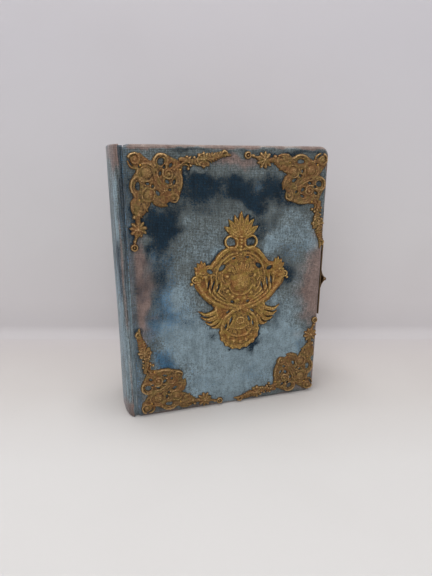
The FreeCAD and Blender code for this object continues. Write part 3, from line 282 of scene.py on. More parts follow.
class EffectShelf:
    """The shared shader groups."""

    def __init__(self) -> None:
        """Build every group."""
        builders = {Effect.CLOTH: self._cloth, Effect.MOTTLE: self._mottle,
                    Effect.FIBRE: self._fibre, Effect.RUBBED: self._rubbed,
                    Effect.GRIME: self._grime}
        self.groups = {effect: build(effect.value) for effect, build in builders.items()}

    @staticmethod
    def _open(name: str, numbers: dict[str, float], results: list[str]) -> tuple[Graph, Node, Node]:
        """Start a group with a Vector input, named numbers and named value outputs.

        Args:
            name: The group's name.
            numbers: Input names and their usual values.
            results: Output names.

        Returns:
            The graph, its input node and its output node.
        """
        tree = bpy.data.node_groups.new(name, "ShaderNodeTree")
        face = tree.interface
        face.new_socket("Vector", in_out="INPUT", socket_type="NodeSocketVector")
        for label, value in numbers.items():
            made = face.new_socket(label, in_out="INPUT", socket_type="NodeSocketFloat")
            made.default_value = value
        for label in results:
            face.new_socket(label, in_out="OUTPUT", socket_type="NodeSocketFloat")
        graph = Graph(tree)
        return graph, graph.node("NodeGroupInput"), graph.node("NodeGroupOutput")

    def _cloth(self, name: str) -> bpy.types.NodeTree:
        """Crossed threads, broken by clouds, with specks of pile left between them.

        Args:
            name: The group's name.

        Returns:
            The group.
        """
        g, given, out = self._open(name, {"Pitch": 220.0}, ["Threads", "Specks", "Height"])
        place = given.outputs["Vector"]
        warp, weft = (g.wave(way, Vector=place, Scale=given.outputs["Pitch"], Distortion=bend,
                             Detail=2.0, Detail_Scale=1.4)
                      for way, bend in (("X", 3.0), ("Z", 2.2)))
        upright, level = (g.noise(g.stretched(place, sizes), 1.0, 2.0)
                          for sizes in ((760.0, 760.0, 250.0), (280.0, 760.0, 760.0)))
        streaks = g.plus(g.times(upright, 0.55), g.times(level, 0.45))
        woven = g.times(g.plus(warp, weft), 0.5)
        threads = g.plus(g.times(woven, 0.3), g.times(streaks, 0.7))
        specks = g.noise(place, 620.0, 4.0, 0.7)
        g.fill(out, Threads=threads, Specks=specks,
               Height=g.plus(g.times(threads, 0.6), g.times(specks, 0.5)))
        return g.tree

    def _mottle(self, name: str) -> bpy.types.NodeTree:
        """Large and small clouds, as tarnish and handling leave on metal.

        Args:
            name: The group's name.

        Returns:
            The group.
        """
        g, given, out = self._open(name, {"Scale": 120.0}, ["Clouds", "Grit"])
        place, scale = given.outputs["Vector"], given.outputs["Scale"]
        g.fill(out, Clouds=g.noise(place, scale, 4.0, 0.6),
               Grit=g.noise(place, g.times(scale, 7.0), 3.0, 0.7))
        return g.tree

    def _fibre(self, name: str) -> bpy.types.NodeTree:
        """Long fibres, for wood grain, pasteboard and brushed metal.

        Args:
            name: The group's name.

        Returns:
            The group.
        """
        labels = ("Along X", "Along Y", "Along Z")
        g, given, out = self._open(name, dict.fromkeys(labels, 1.0), ["Fibres", "Pores"])
        pulled = g.node("ShaderNodeCombineXYZ")
        for socket, label in zip(pulled.inputs, labels):
            g.feed(socket, given.outputs[label])
        place = g.node("ShaderNodeVectorMath", operation="MULTIPLY")
        g.feed(place.inputs[0], given.outputs["Vector"])
        g.feed(place.inputs[1], pulled.outputs[0])
        g.fill(out, Fibres=g.noise(place.outputs[0], 60.0, 5.0, 0.62),
               Pores=g.noise(place.outputs[0], 420.0, 2.0, 0.5))
        return g.tree

    def _rubbed(self, name: str) -> bpy.types.NodeTree:
        """Broken patches where a surface was rubbed, more of them as Amount grows.

        Args:
            name: The group's name.

        Returns:
            The group.
        """
        g, given, out = self._open(name, {"Scale": 90.0, "Amount": 0.4}, ["Mask"])
        broad = g.noise(given.outputs["Vector"], given.outputs["Scale"], 5.0, 0.65)
        edge = g.line(g.less(1.0, given.outputs["Amount"]), 0.5, 0.5)
        g.fill(out, Mask=g.times(g.less(broad, edge), 9.0, clamp=True))
        return g.tree

    def _grime(self, name: str) -> bpy.types.NodeTree:
        """Darker towards the bottom of the album, broken into soft clouds.

        Args:
            name: The group's name.

        Returns:
            The group.
        """
        g, given, out = self._open(name, {"Reach": 0.02}, ["Mask"])
        split = g.fill(g.node("ShaderNodeSeparateXYZ"), Vector=given.outputs["Vector"])
        low = g.math("DIVIDE", split.outputs[2], given.outputs["Reach"])
        clouds = g.noise(given.outputs["Vector"], 70.0, 4.0, 0.6)
        g.fill(out, Mask=g.times(g.less(1.0, low, clamp=True), clouds, clamp=True))
        return g.tree

    def place(self, graph: Graph, effect: Effect, place: Socket, **numbers: float) -> Node:
        """Put a shared group into a material, with its inputs' values by name."""
        made = graph.node("ShaderNodeGroup", node_tree=self.groups[effect])
        return graph.fill(made, Vector=place, **numbers)


SHELF = EffectShelf()


@dataclass(frozen=True)
class Finish:
    """A named surface; each kind of surface adds its own colours and wiring."""

    name: str

    def wire(self, g: Graph, shader: Node, place: Socket) -> None:
        """Connect the shader's inputs; each kind of finish does this its own way."""
        raise NotImplementedError

    def material(self) -> Material:
        """Return this finish as a material, made on first use.

        Returns:
            The material.
        """
        known = bpy.data.materials.get(self.name)
        if known:
            return known
        made = bpy.data.materials.new(self.name)
        made.use_nodes = True
        made.node_tree.nodes.clear()
        g = Graph(made.node_tree)
        shader = g.node("ShaderNodeBsdfPrincipled")
        g.fill(g.node("ShaderNodeOutputMaterial"), Surface=shader.outputs[0])
        self.wire(g, shader, g.node("ShaderNodeTexCoord").outputs["Object"])
        return made

    @staticmethod
    def bump(g: Graph, shader: Node, height: Socket, strength: float, depth: float) -> None:
        """Bump the surface by a height of 0 to 1, at a strength and a depth in metres."""
        made = g.fill(g.node("ShaderNodeBump"), Strength=strength, Distance=depth, Height=height)
        g.fill(shader, Normal=made.outputs[0])

    @staticmethod
    def fibre(g: Graph, place: Socket, grain: Triple) -> tuple[Socket, Socket]:
        """The fibre effect, drawn out along each axis.

        Args:
            g: The material's graph.
            place: The vector that it reads.
            grain: How close the fibres lie along x, y and z.

        Returns:
            The fibres and the pores.
        """
        made = SHELF.place(g, Effect.FIBRE, place, Along_X=grain[0], Along_Y=grain[1],
                           Along_Z=grain[2])
        return made.outputs["Fibres"], made.outputs["Pores"]


@dataclass(frozen=True)
class VelvetFinish(Finish):
    """Cotton velvet. The nap attribute holds pile, tan, pale and blue in its four channels."""

    ground: Colour = linear(90, 97, 97)
    pale: Colour = linear(117, 133, 140)
    blue: Colour = linear(60, 95, 122)
    tan: Colour = linear(117, 100, 94)
    backing: Colour = linear(150, 140, 132)
    pile: Colour = linear(19, 36, 48)
    low_brown: Colour = linear(62, 54, 48)
    thread_swing: float = 0.44
    fleck_swing: float = 0.28
    cloud_swing: float = 0.17
    brush: Triple = (330.0, 330.0, 70.0)
    brush_swing: float = 0.13
    sheen: float = 0.16

    def wire(self, g: Graph, shader: Node, place: Socket) -> None:
        """Mix the dyes by the nap attribute, broken by threads and specks.

        Args:
            g: The material's graph.
            shader: Its Principled node.
            place: Object coordinates.
        """
        nap = g.node("ShaderNodeAttribute", attribute_name="nap")
        split = g.fill(g.node("ShaderNodeSeparateColor"), Color=nap.outputs["Color"])
        pile, tan, pale = split.outputs
        cloth = SHELF.place(g, Effect.CLOTH, place, Pitch=210.0)
        clouds = SHELF.place(g, Effect.MOTTLE, place, Scale=85.0).outputs["Clouds"]
        threads, specks = cloth.outputs["Threads"], cloth.outputs["Specks"]
        lift = g.plus(g.about(specks, 0.5, 1.9), g.about(threads, 0.5, 1.3))
        colour = g.mix(g.step(g.plus(pale, lift), 0.1, 0.95), self.ground, self.pale)
        colour = g.mix(g.step(g.plus(nap.outputs["Alpha"], lift), 0.15, 1.05), colour, self.blue)
        bare = g.mix(g.step(pale, 0.3, 1.0), self.tan, self.backing)
        colour = g.mix(g.step(g.plus(tan, g.times(lift, 0.35)), 0.15, 0.9), colour, bare)
        even = g.less(1.0, g.times(tan, 0.7))
        standing = g.step(g.plus(pile, g.times(lift, even)), 0.2, 0.85)
        colour = g.mix(standing, colour, self.pile)
        calm = g.less(g.less(1.0, g.times(pale, 0.5)), g.times(tan, 0.45))
        brushed = g.noise(g.stretched(place, self.brush), 1.0, 3.0)
        level = self._swing(g, threads, (0.42, 0.58), self.thread_swing, calm)
        for value, reach, swing, share in ((specks, (0.36, 0.64), self.fleck_swing, calm),
                                           (brushed, (0.35, 0.65), self.brush_swing, calm),
                                           (clouds, (0.3, 0.7), self.cloud_swing, 1.0)):
            level = g.times(level, self._swing(g, value, reach, swing, share))
        lit = g.node("ShaderNodeVectorMath", operation="SCALE")
        g.feed(lit.inputs[0], colour)
        g.feed(lit.inputs["Scale"], level)
        # Darker and browner towards the bottom of the velvet, in soft clouds.
        grime = SHELF.place(g, Effect.GRIME, place, Reach=0.016)
        g.fill(shader, Base_Color=g.mix(g.times(grime.outputs[0], 0.9), lit.outputs[0], self.low_brown),
               Roughness=0.92, Specular_IOR_Level=0.2, Sheen_Weight=self.sheen,
               Sheen_Roughness=0.35, Sheen_Tint=(0.8, 0.88, 0.95))
        self.bump(g, shader, g.plus(cloth.outputs["Height"], g.times(standing, 0.5)), 0.9, 0.0009)

    @staticmethod
    def _swing(g: Graph, value: Socket, reach: Point2, swing: float, share: object) -> Socket:
        """A brightness that swings about 1 while the value goes through its reach."""
        wide = g.about(g.step(value, *reach), 0.5, 2 * swing)
        return g.plus(g.times(wide, share), 1.0)


@dataclass(frozen=True)
class GiltFinish(Finish):
    """Gilt stamped brass, with a painted highlight on what stands out and brown in the hollows that
    is tarnish and painted shade.
    """

    hollow: Colour = linear(54, 44, 32)
    low: Colour = linear(99, 73, 40)
    face: Colour = linear(132, 100, 52)
    high: Colour = linear(155, 120, 63)
    painted_highlight: Colour = linear(202, 167, 106)
    copper: Colour = linear(134, 84, 41)
    olive: Colour = linear(136, 114, 49)
    dull: Colour = linear(92, 86, 70)

    def wire(self, g: Graph, shader: Node, place: Socket) -> None:
        """Colour by the relief attribute, with painted shade in the hollows, a painted highlight on
        what stands out and tarnish clouds over it.

        Args:
            g: The material's graph.
            shader: Its Principled node.
            place: Object coordinates.
        """
        relief = g.node("ShaderNodeAttribute", attribute_name="relief").outputs["Fac"]
        mottle = SHELF.place(g, Effect.MOTTLE, place, Scale=140.0)
        grit = mottle.outputs["Grit"]
        level = g.plus(g.line(g.less(grit, 0.5), 1.1, relief),
                       g.about(g.noise(place, 780.0, 2.0), 0.5, 1.3))
        # The ramp runs from brown hollows, which are tarnish and painted shade, up to a painted
        # highlight.
        colour = g.ramp(level, [(0.08, self.hollow), (0.32, self.low), (0.55, self.face),
                                (0.8, self.high), (1.0, self.painted_highlight)])
        broad = SHELF.place(g, Effect.MOTTLE, place, Scale=52.0).outputs["Clouds"]
        tint = g.noise(place, 230.0, 2.0)
        # Painted glint: the highest ridges are mixed towards the highlight colour.
        painted_glint = g.plus(relief, g.times(grit, 0.9))
        for value, low, high, share, tone in ((broad, 0.44, 0.62, 0.55, self.copper),
                                              (tint, 0.48, 0.62, 0.5, self.olive),
                                              (painted_glint, 1.12, 1.3, 0.8, self.painted_highlight)):
            colour = g.mix(g.times(g.step(value, low, high), share), colour, tone)
        worn = SHELF.place(g, Effect.RUBBED, place, Scale=190.0, Amount=0.42)
        g.fill(shader, Base_Color=g.mix(g.times(worn.outputs[0], 0.7), colour, self.dull),
               Metallic=0.62, Roughness=g.line(mottle.outputs["Clouds"], 0.35, 0.38))
        self.bump(g, shader, grit, 0.6, 0.0005)


@dataclass(frozen=True)
class MetalFinish(Finish):
    """Plain worked metal of the clasp, the feet and the movement."""

    colour: Colour
    tarnish: Colour
    tarnished: float
    roughness: float
    grain: Triple = (4.0, 4.0, 4.0)

    def wire(self, g: Graph, shader: Node, place: Socket) -> None:
        """Tarnish in patches over fine brushing.

        Args:
            g: The material's graph.
            shader: Its Principled node.
            place: Object coordinates.
        """
        rubbed = SHELF.place(g, Effect.RUBBED, place, Scale=110.0, Amount=self.tarnished)
        mottle = SHELF.place(g, Effect.MOTTLE, place, Scale=240.0)
        fibres, _ = self.fibre(g, place, self.grain)
        dark = g.times(rubbed.outputs[0], 0.8)
        tint = g.about(mottle.outputs["Clouds"], 0.35, 0.6, clamp=True)
        rough = g.line(fibres, 0.3, self.roughness - 0.12)
        g.fill(shader, Metallic=1.0, Roughness=g.plus(rough, g.times(dark, 0.2)),
               Base_Color=g.mix(tint, g.mix(dark, self.colour, self.tarnish), self.tarnish))
        self.bump(g, shader, g.plus(fibres, mottle.outputs["Grit"]), 0.2, 0.00012)


@dataclass(frozen=True)
class PaperFinish(Finish):
    """Card, lining paper and pasted board."""

    colour: Colour
    stain: Colour
    stained: float
    moire: float = 0.0

    def wire(self, g: Graph, shader: Node, place: Socket) -> None:
        """Foxed paper, with a watered figure where moire is over 0.

        Args:
            g: The material's graph.
            shader: Its Principled node.
            place: Object coordinates.
        """
        _, pores = self.fibre(g, place, (3.0, 3.0, 8.0))
        mottle = SHELF.place(g, Effect.MOTTLE, place, Scale=38.0)
        rubbed = SHELF.place(g, Effect.RUBBED, place, Scale=46.0, Amount=self.stained)
        colour = g.mix(g.times(rubbed.outputs[0], 0.45), self.colour, self.stain)
        colour = g.mix(g.about(pores, 0.3, 0.35, clamp=True), colour, self.stain)
        if self.moire:
            figure = g.wave("Z", Vector=g.stretched(place, (0.35, 1.0, 1.0)), Scale=58.0,
                            Distortion=9.0, Detail=2.0, Detail_Scale=0.9)
            shine = tuple(min(1.0, c * 1.7) for c in self.colour)
            colour = g.mix(g.times(figure, self.moire), colour, shine)
        g.fill(shader, Base_Color=colour, Roughness=g.line(mottle.outputs["Clouds"], 0.3, 0.5))
        self.bump(g, shader, pores, 0.25, 0.0001)


@dataclass(frozen=True)
class GiltEdgeFinish(Finish):
    """Leaf gold rubbed on the edges of card, thin enough to show the card."""

    gold: Colour = linear(206, 162, 84)
    thin_gold: Colour = linear(122, 88, 42)
    card: Colour = linear(150, 118, 76)
    grain: Triple = (1.5, 12.0, 1.5)

    def wire(self, g: Graph, shader: Node, place: Socket) -> None:
        """Gold broken by rubbing, over fibres that run along the leaf.

        Args:
            g: The material's graph.
            shader: Its Principled node.
            place: Object coordinates.
        """
        fibres, pores = self.fibre(g, place, self.grain)
        rubbed = SHELF.place(g, Effect.RUBBED, place, Scale=120.0, Amount=0.42)
        bare = g.times(rubbed.outputs[0], 0.75)
        g.fill(shader, Base_Color=g.mix(bare, g.mix(fibres, self.thin_gold, self.gold), self.card),
               Metallic=g.less(0.85, g.times(bare, 0.8)), Roughness=g.line(pores, 0.3, 0.26))
        self.bump(g, shader, fibres, 0.3, 0.0002)


@dataclass(frozen=True)
class WoodFinish(Finish):
    """Thin spruce of the music case."""

    light: Colour = linear(178, 140, 92)
    dark: Colour = linear(116, 80, 46)
    pore: Colour = linear(70, 46, 26)

    def wire(self, g: Graph, shader: Node, place: Socket) -> None:
        """Straight grain with a thin coat of shellac.

        Args:
            g: The material's graph.
            shader: Its Principled node.
            place: Object coordinates.
        """
        fibres, pores = self.fibre(g, place, (6.0, 6.0, 0.4))
        open_pores = g.times(g.step(pores, 0.58, 0.7), 0.5)
        g.fill(shader, Roughness=0.5, Coat_Weight=0.15,
               Base_Color=g.mix(open_pores, g.mix(fibres, self.dark, self.light), self.pore))
        self.bump(g, shader, fibres, 0.3, 0.0002)


@dataclass(frozen=True)
class LinenFinish(Finish):
    """Bookbinder's linen at the joint."""

    thread: Colour = linear(168, 156, 132)

    def wire(self, g: Graph, shader: Node, place: Socket) -> None:
        """Plain weave, greyed with glue.

        Args:
            g: The material's graph.
            shader: Its Principled node.
            place: Object coordinates.
        """
        cloth = SHELF.place(g, Effect.CLOTH, place, Pitch=380.0)
        dull = tuple(c * 0.45 for c in self.thread)
        g.fill(shader, Base_Color=g.mix(cloth.outputs["Threads"], dull, self.thread),
               Roughness=0.9)
        self.bump(g, shader, cloth.outputs["Height"], 0.6, 0.0003)


VELVET = VelvetFinish("worn_velvet")
SPINE_VELVET = VelvetFinish("worn_velvet_spine", brush=(760.0, 760.0, 11.0), brush_swing=0.5,
                            sheen=0.4)
GILT = GiltFinish("stamped_gilt")
TARNISHED_GILT = GiltFinish("tarnished_gilt", linear(53, 43, 32), linear(91, 68, 42),
                            linear(117, 88, 52), linear(138, 107, 63), linear(180, 148, 104),
                            linear(120, 78, 43), linear(114, 97, 50), linear(86, 79, 66))
CLASP_BRASS = MetalFinish("clasp_brass", linear(112, 92, 70), linear(50, 36, 26), 0.5, 0.42)
FOOT_BRASS = MetalFinish("foot_brass", linear(184, 142, 76), linear(92, 66, 34), 0.4, 0.36)
PLATE_BRASS = MetalFinish("plate_brass", linear(206, 172, 96), linear(130, 96, 50), 0.3, 0.3)
BLUED_STEEL = MetalFinish("blued_steel", linear(46, 62, 108), linear(34, 30, 40), 0.3, 0.3)
BRIGHT_STEEL = MetalFinish("bright_steel", linear(186, 186, 190), linear(110, 100, 92), 0.3, 0.3,
                           (2.0, 2.0, 14.0))
LEAF_CARD = PaperFinish("leaf_card", linear(222, 213, 195), linear(178, 154, 120), 0.34)
LEAF_PRINT = PaperFinish("leaf_print_gold", linear(186, 148, 84), linear(140, 106, 62), 0.3)
LINING = PaperFinish("watered_lining", linear(158, 143, 129), linear(120, 98, 80), 0.3, 0.4)
BOARD = PaperFinish("pasted_board", linear(138, 118, 88), linear(92, 72, 50), 0.4)
LEAF_EDGE = GiltEdgeFinish("leaf_edge_gilt")
CASE_EDGE = GiltEdgeFinish("case_edge_gilt", grain=(1.2, 1.2, 9.0))
CASE_WOOD = WoodFinish("case_spruce")
LINEN = LinenFinish("guard_linen")


# ------------------------------------------------------------------------------------- mesh making
def piece(name: str, verts: Array, faces: list, materials: list[Material],
          smooth: bool = True) -> Thing:
    """Make a mesh object from points in millimetres.

    Args:
        name: The piece's name.
        verts: Points, one row each.
        faces: Rows of point numbers.
        materials: Its materials.
        smooth: Whether the faces are shaded smooth.

    Returns:
        The object, at the origin.
    """
    mesh = bpy.data.meshes.new(name)
    mesh.from_pydata((np.asarray(verts) * MM).tolist(), [], [list(map(int, f)) for f in faces])
    for material in materials:
        mesh.materials.append(material)
    mesh.polygons.foreach_set("use_smooth", [smooth] * len(mesh.polygons))
    mesh.update()
    return linked(name, mesh)


def linked(name: str, data: bpy.types.ID) -> Thing:
    """Put data into the scene as an object.

    Args:
        name: The object's name.
        data: A mesh, a lamp or a camera.

    Returns:
        The object.
    """
    made = bpy.data.objects.new(name, data)
    bpy.context.scene.collection.objects.link(made)
    return made


@contextmanager
def edited(made: Thing) -> Iterator[bmesh.types.BMesh]:
    """Open a piece's mesh for editing and write it back.

    Args:
        made: The piece.

    Returns:
        The open mesh, for a with block.
    """
    mesh = bmesh.new()
    mesh.from_mesh(made.data)
    yield mesh
    mesh.to_mesh(made.data)
    mesh.free()


def outward(made: Thing, rims_face: Vector | None = None) -> Thing:
    """Merge doubles, close open rims that lie in one plane, and point every face outward.

    Args:
        made: The piece.
        rims_face: The direction that the closing faces look in, if there are open rims.

    Returns:
        The same piece.
    """
    with edited(made) as mesh:
        bmesh.ops.remove_doubles(mesh, verts=mesh.verts, dist=1e-6)
        if rims_face is not None:
            rim = [edge for edge in mesh.edges if edge.is_boundary]
            bmesh.ops.triangle_fill(mesh, use_beauty=False, use_dissolve=False, edges=rim,
                                    normal=rims_face)
        bmesh.ops.recalc_face_normals(mesh, faces=mesh.faces)
    return made


def store(made: Thing, name: str, kind: str, values: object, domain: str = "POINT") -> None:
    """Keep values on a piece as an attribute.

    Args:
        made: The piece.
        name: The attribute's name.
        kind: Its data type.
        values: One value or colour for each point or face.
        domain: POINT or FACE.
    """
    layer = made.data.attributes.new(name, kind, domain)
    label = "color" if kind == "FLOAT_COLOR" else "value"
    layer.data.foreach_set(label, np.asarray(values).ravel())


def cells(ids: Array) -> Array:
    """The four point numbers of every cell of a grid, in order round it."""
    return np.stack([ids[:-1, :-1], ids[1:, :-1], ids[1:, 1:], ids[:-1, 1:]], -1)


def round_rim(ids: Array) -> Array:
    """The point numbers round the rim of a grid."""
    return np.concatenate([ids[:, 0], ids[-1, 1:], ids[-2::-1, -1], ids[0, -2:0:-1]])


def band(first: Array, second: Array) -> list[list[int]]:
    """Faces between two closed rings of points."""
    return np.stack([first, np.roll(first, -1), np.roll(second, -1), second], -1).tolist()


def slab(name: str, top: Array, under: Array, finish: Finish) -> Thing:
    """Make a closed sheet between two grids of points.

    Args:
        name: The piece's name.
        top, under: The points of its two sides, by row and column.
        finish: Its finish.

    Returns:
        The piece.
    """
    ids = np.arange(top[..., 0].size).reshape(top.shape[:2])
    rim = round_rim(ids)
    faces = cells(ids)[..., [0, 3, 2, 1]].reshape(-1, 4).tolist()
    faces += cells(ids + ids.size).reshape(-1, 4).tolist() + band(rim, rim + ids.size)
    verts = np.concatenate([top.reshape(-1, 3), under.reshape(-1, 3)])
    return piece(name, verts, faces, [finish.material()])


def clouds(x: Array, z: Array, size: float, seed: int, octaves: int = 3) -> Array:
    """Smooth noise over a plane, from about -1 to 1.

    Args:
        x, z: Places.
        size: Width of the largest clouds.
        seed: Fixed start of the random lattice.
        octaves: Layers, each half as wide.

    Returns:
        The noise at each place.
    """
    total = np.zeros(np.broadcast(x, z).shape)
    weight = 1.0
    for octave in range(octaves):
        lattice = np.random.default_rng(seed + octave).uniform(-1, 1, (256, 256))
        step = size / 2 ** octave
        fx, fz = (x / step) % 256, (z / step) % 256
        ix, iz = np.floor(fx).astype(int), np.floor(fz).astype(int)
        tx, tz = fx - ix, fz - iz
        tx, tz = tx * tx * (3 - 2 * tx), tz * tz * (3 - 2 * tz)
        ix, iz = ix % 256, iz % 256
        jx, jz = (ix + 1) % 256, (iz + 1) % 256
        low = lattice[ix, iz] * (1 - tx) + lattice[jx, iz] * tx
        high = lattice[ix, jz] * (1 - tx) + lattice[jx, jz] * tx
        total += weight * (low * (1 - tz) + high * tz)
        weight *= 0.5
    return total / 1.6


def smooth_step(value: Array, low: float, high: float) -> Array:
    """A smooth rise from 0 to 1 between low and high."""
    t = np.clip((value - low) / (high - low), 0, 1)
    return t * t * (3 - 2 * t)


# ------------------------------------------------------------------------------------- worn velvet
class Dye(Enum):
    """The channels of the cloth's nap attribute."""

    PILE = 0
    TAN = 1
    PALE = 2
    BLUE = 3


@dataclass(frozen=True)
class Patch:
    """A soft patch of the cloth: its middle, its reach and what it adds to each channel."""

    x: float
    z: float
    reach_x: float
    reach_z: float
    pile: float = 0.0
    tan: float = 0.0
    pale: float = 0.0
    blue: float = 0.0


def patch_rows(*rows: tuple[float, ...]) -> tuple[Patch, ...]:
    """Make patches from rows of their fields, whose last zeros are left out."""
    return tuple(Patch(*row) for row in rows)


FRONT_PATCHES = patch_rows(
    (66, 242, 22, 14, 0.9), (112, 240, 20, 15, 0.95), (150, 240, 17, 12, 0.85),
    (92, 250, 40, 7, 0.3), (90, 240, 12, 9, 0.35), (131, 241, 5, 8, -0.3, 0, 0, 0.5),
    (72, 258, 10, 4, -0.5, 0.25), (151, 222, 8, 6, -0.18), (110, 224, 10, 6, -0.3),
    (92, 227, 40, 10, 0.35), (132, 224, 15, 12, 0.75), (164, 225, 14, 10, 0.6),
    (152, 202, 12, 14, 0.4), (36, 204, 14, 24, 1), (37, 168, 12, 24, 0.38),
    (20, 214, 12, 12, 0.4), (52, 210, 12, 13, 0.55), (21, 181, 6, 7, 0.45),
    # Dark pile at (171, 148), (132, 66) and (150, 94), right of and below the medallion, is partly
    # pile and partly the medallion's painted shadow.
    (20, 197, 6, 6, 0, 0.25), (136, 194, 8, 16, 0.6), (171, 148, 12, 13, 0.8),
    (166, 168, 10, 8, 0.3), (132, 66, 12, 10, 0.95), (150, 94, 9, 6, 0.4), (80, 84, 8, 4, 0.25),
    (36, 150, 8, 14, 0.16), (40, 58, 9, 8, 0.35), (205, 180, 8, 7, -0.3, 0, 0.4),
    (150, 124, 10, 10, -0.2, 0, 0.4), (66, 274, 26, 3, 0.55), (172, 274, 26, 3, 0.65),
    (120, 274, 14, 3, 0.45), (8, 235, 8, 50, 0.32), (7, 150, 7, 90, 0.22),
    (116, 264, 27, 5, 0, 0.7), (9, 146, 12, 64, 0, 0.7), (20, 138, 16, 46, 0.36, 0.62),
    (212, 132, 16, 76, 0, 0.85), (192, 134, 19, 38, 0.04, 0.38), (2, 24, 12, 34, 0, 0.6),
    (60, 104, 16, 5, 0.26), (190, 76, 9, 9, -0.3, 0.3, 0.4), (126, 46, 28, 12, 0, 0, 0.45),
    (150, 184, 8, 8, -0.2, 0, 0.3), (176, 172, 16, 14, 0, 0, 0, 0.35),
    (74, 14, 16, 8, -0.4, 0, 0.7), (112, 7, 20, 5, 0, 0, 0.5, 0.3),
    (196, 182, 10, 10, 0, 0, 0.4, 0.3), (4, 200, 7, 60, 0, 0.3), (30, 279, 60, 2.5, 0, 0.7),
    (205, 270, 14, 14, 0, 0.3), (200, 5, 30, 7, 0, 0.5), (60, 2, 60, 4, 0, 0.5),
    (90, 182, 40, 30, 0, 0, 0.3), (176, 194, 30, 22, 0, 0, 0.5), (150, 180, 10, 12, 0, 0, 0.7),
    (52, 134, 13, 16, 0, 0, 0.6), (105, 60, 70, 50, 0, 0, 0.95), (60, 82, 26, 22, 0, 0, 0.6),
    (34, 92, 10, 14, 0, 0, 0.5), (172, 66, 24, 36, 0, 0, 0.8), (176, 112, 20, 18, 0, 0, 0.45),
    (110, 22, 60, 16, 0, 0, 0.5), (34, 112, 14, 30, 0, 0, 0.3, 0.55),
    (54, 108, 18, 26, 0, 0, 0.4, 0.35), (34, 62, 14, 16, 0, 0, 0, 0.75),
    (190, 62, 10, 12, 0, 0, 0, 0.4), (140, 32, 26, 14, 0, 0, 0, 0.3),
    (80, 34, 24, 14, 0, 0, 0, 0.25), (36, 168, 16, 34, 0, 0, 0, 0.5),
    (20, 100, 10, 20, 0, 0, 0, 0.35), (163, 99, 5, 13, 0.45), (137, 61, 7, 6, -0.6),
    (97, 240, 9, 9, -0.5), (127, 216, 8, 8, 0.5), (159, 196, 7, 9, -0.35, 0, 0.3),
    (183, 143, 7, 7, -0.25, 0, 0, 0.3), (39, 52, 8, 9, -0.35, 0, 0, 0.3),
    (21, 187, 9, 10, 0.28, -0.55), (97, 268, 12, 4, 0, 0.5), (60, 244, 8, 8, -0.4),
    (91, 175, 7, 7, 0, 0, 0.6), (85, 90, 8, 4, 0.45), (90, 77, 10, 7, -0.3, 0, 0.5),
    (63, 214, 8, 6, -0.3, 0, 0.3), (27, 124, 8, 20, 0.1, -0.45), (143, 249, 6, 6, -0.25),
    (179, 217, 7, 7, 0.22), (46, 128, 7, 12, 0, 0, 0.4, -0.3), (32, 102, 10, 10, 0, 0, 0.5),
    (40, 139, 7, 8, -0.2, 0, 0.4), (27, 178, 7, 7, -0.2, 0, 0, 0.2))
BACK_PATCHES = patch_rows(
    (105, 150, 80, 90, 0.75), (60, 210, 40, 40, 0.3), (150, 80, 40, 50, -0.35, 0, 0.4),
    (40, 60, 30, 40, 0, 0, 0, 0.4), (4, 140, 10, 130, 0, 0.6), (212, 140, 9, 130, 0, 0.8),
    (105, 278, 120, 5, 0, 0.7), (105, 2, 120, 6, 0, 0.7), (24, 22, 14, 14, 0, 0.4, 0.3),
    (190, 22, 14, 14, 0, 0.4, 0.3), (24, 258, 14, 14, 0, 0.3, 0.3),
    (190, 258, 14, 14, 0, 0.3, 0.3), (152, 90, 26, 26, 0, 0.2, 0.5),
    (100, 120, 50, 16, 0, 0, 0.3))
SPINE_PATCHES = patch_rows(
    (6, 272, 11, 13, 0, 1), (10, 254, 5, 16, 0, 0.5), (1, 238, 2.4, 24, 0.6),
    (2.2, 206, 3, 20, 0.25, 0, 0, 0.5), (6.5, 238, 1.8, 20, 0, 0, 1), (11, 225, 3, 40, 0, 0, 1),
    (8, 212, 2.4, 20, 0, 0, 0.5), (12.6, 176, 5.4, 22, 0.8, 0, 0, 0.6),
    (10.4, 148, 3.6, 18, 0.7, 0, 0, 0.5), (5, 170, 2.8, 38, 0.12, 0.72),
    (0.4, 150, 1.6, 44, 0.35, 0, 0, 0.6), (2.6, 122, 3.2, 26, 0, 0.65), (10.6, 176, 2.2, 18, 0.3),
    (6.2, 108, 1.8, 12, 0.3), (9.5, 118, 2.4, 26, 0, 0, 1), (7, 60, 5.5, 52, 0, 0, 1),
    (3.4, 66, 1.3, 36, 0, 0.35, 0.3), (1.2, 40, 1.6, 34, 0, 0.5),
    (12, 130, 4, 50, 0, 0, 0.9, 0.3), (5, 5, 22, 10, 0, 1), (26, 140, 12, 120, 0, 0, 0.5, 0.3),
    (38, 200, 20, 50, 0.35), (38, 90, 9, 60, 0, 0.35), (52, 90, 12, 60, 0, 0.4),
    (68, 140, 8, 120, 0, 0, 0.4, 0.2), (38, 276, 40, 6, 0, 0.8), (38, 3, 40, 7, 0, 0.8),
    (75, 150, 3, 120, 0, 0.6))

# Strength and width of the clouds in each channel of the cloth.
NAP_NOISE = ((0.16, 9), (0.14, 14), (0.22, 12), (0.20, 20))


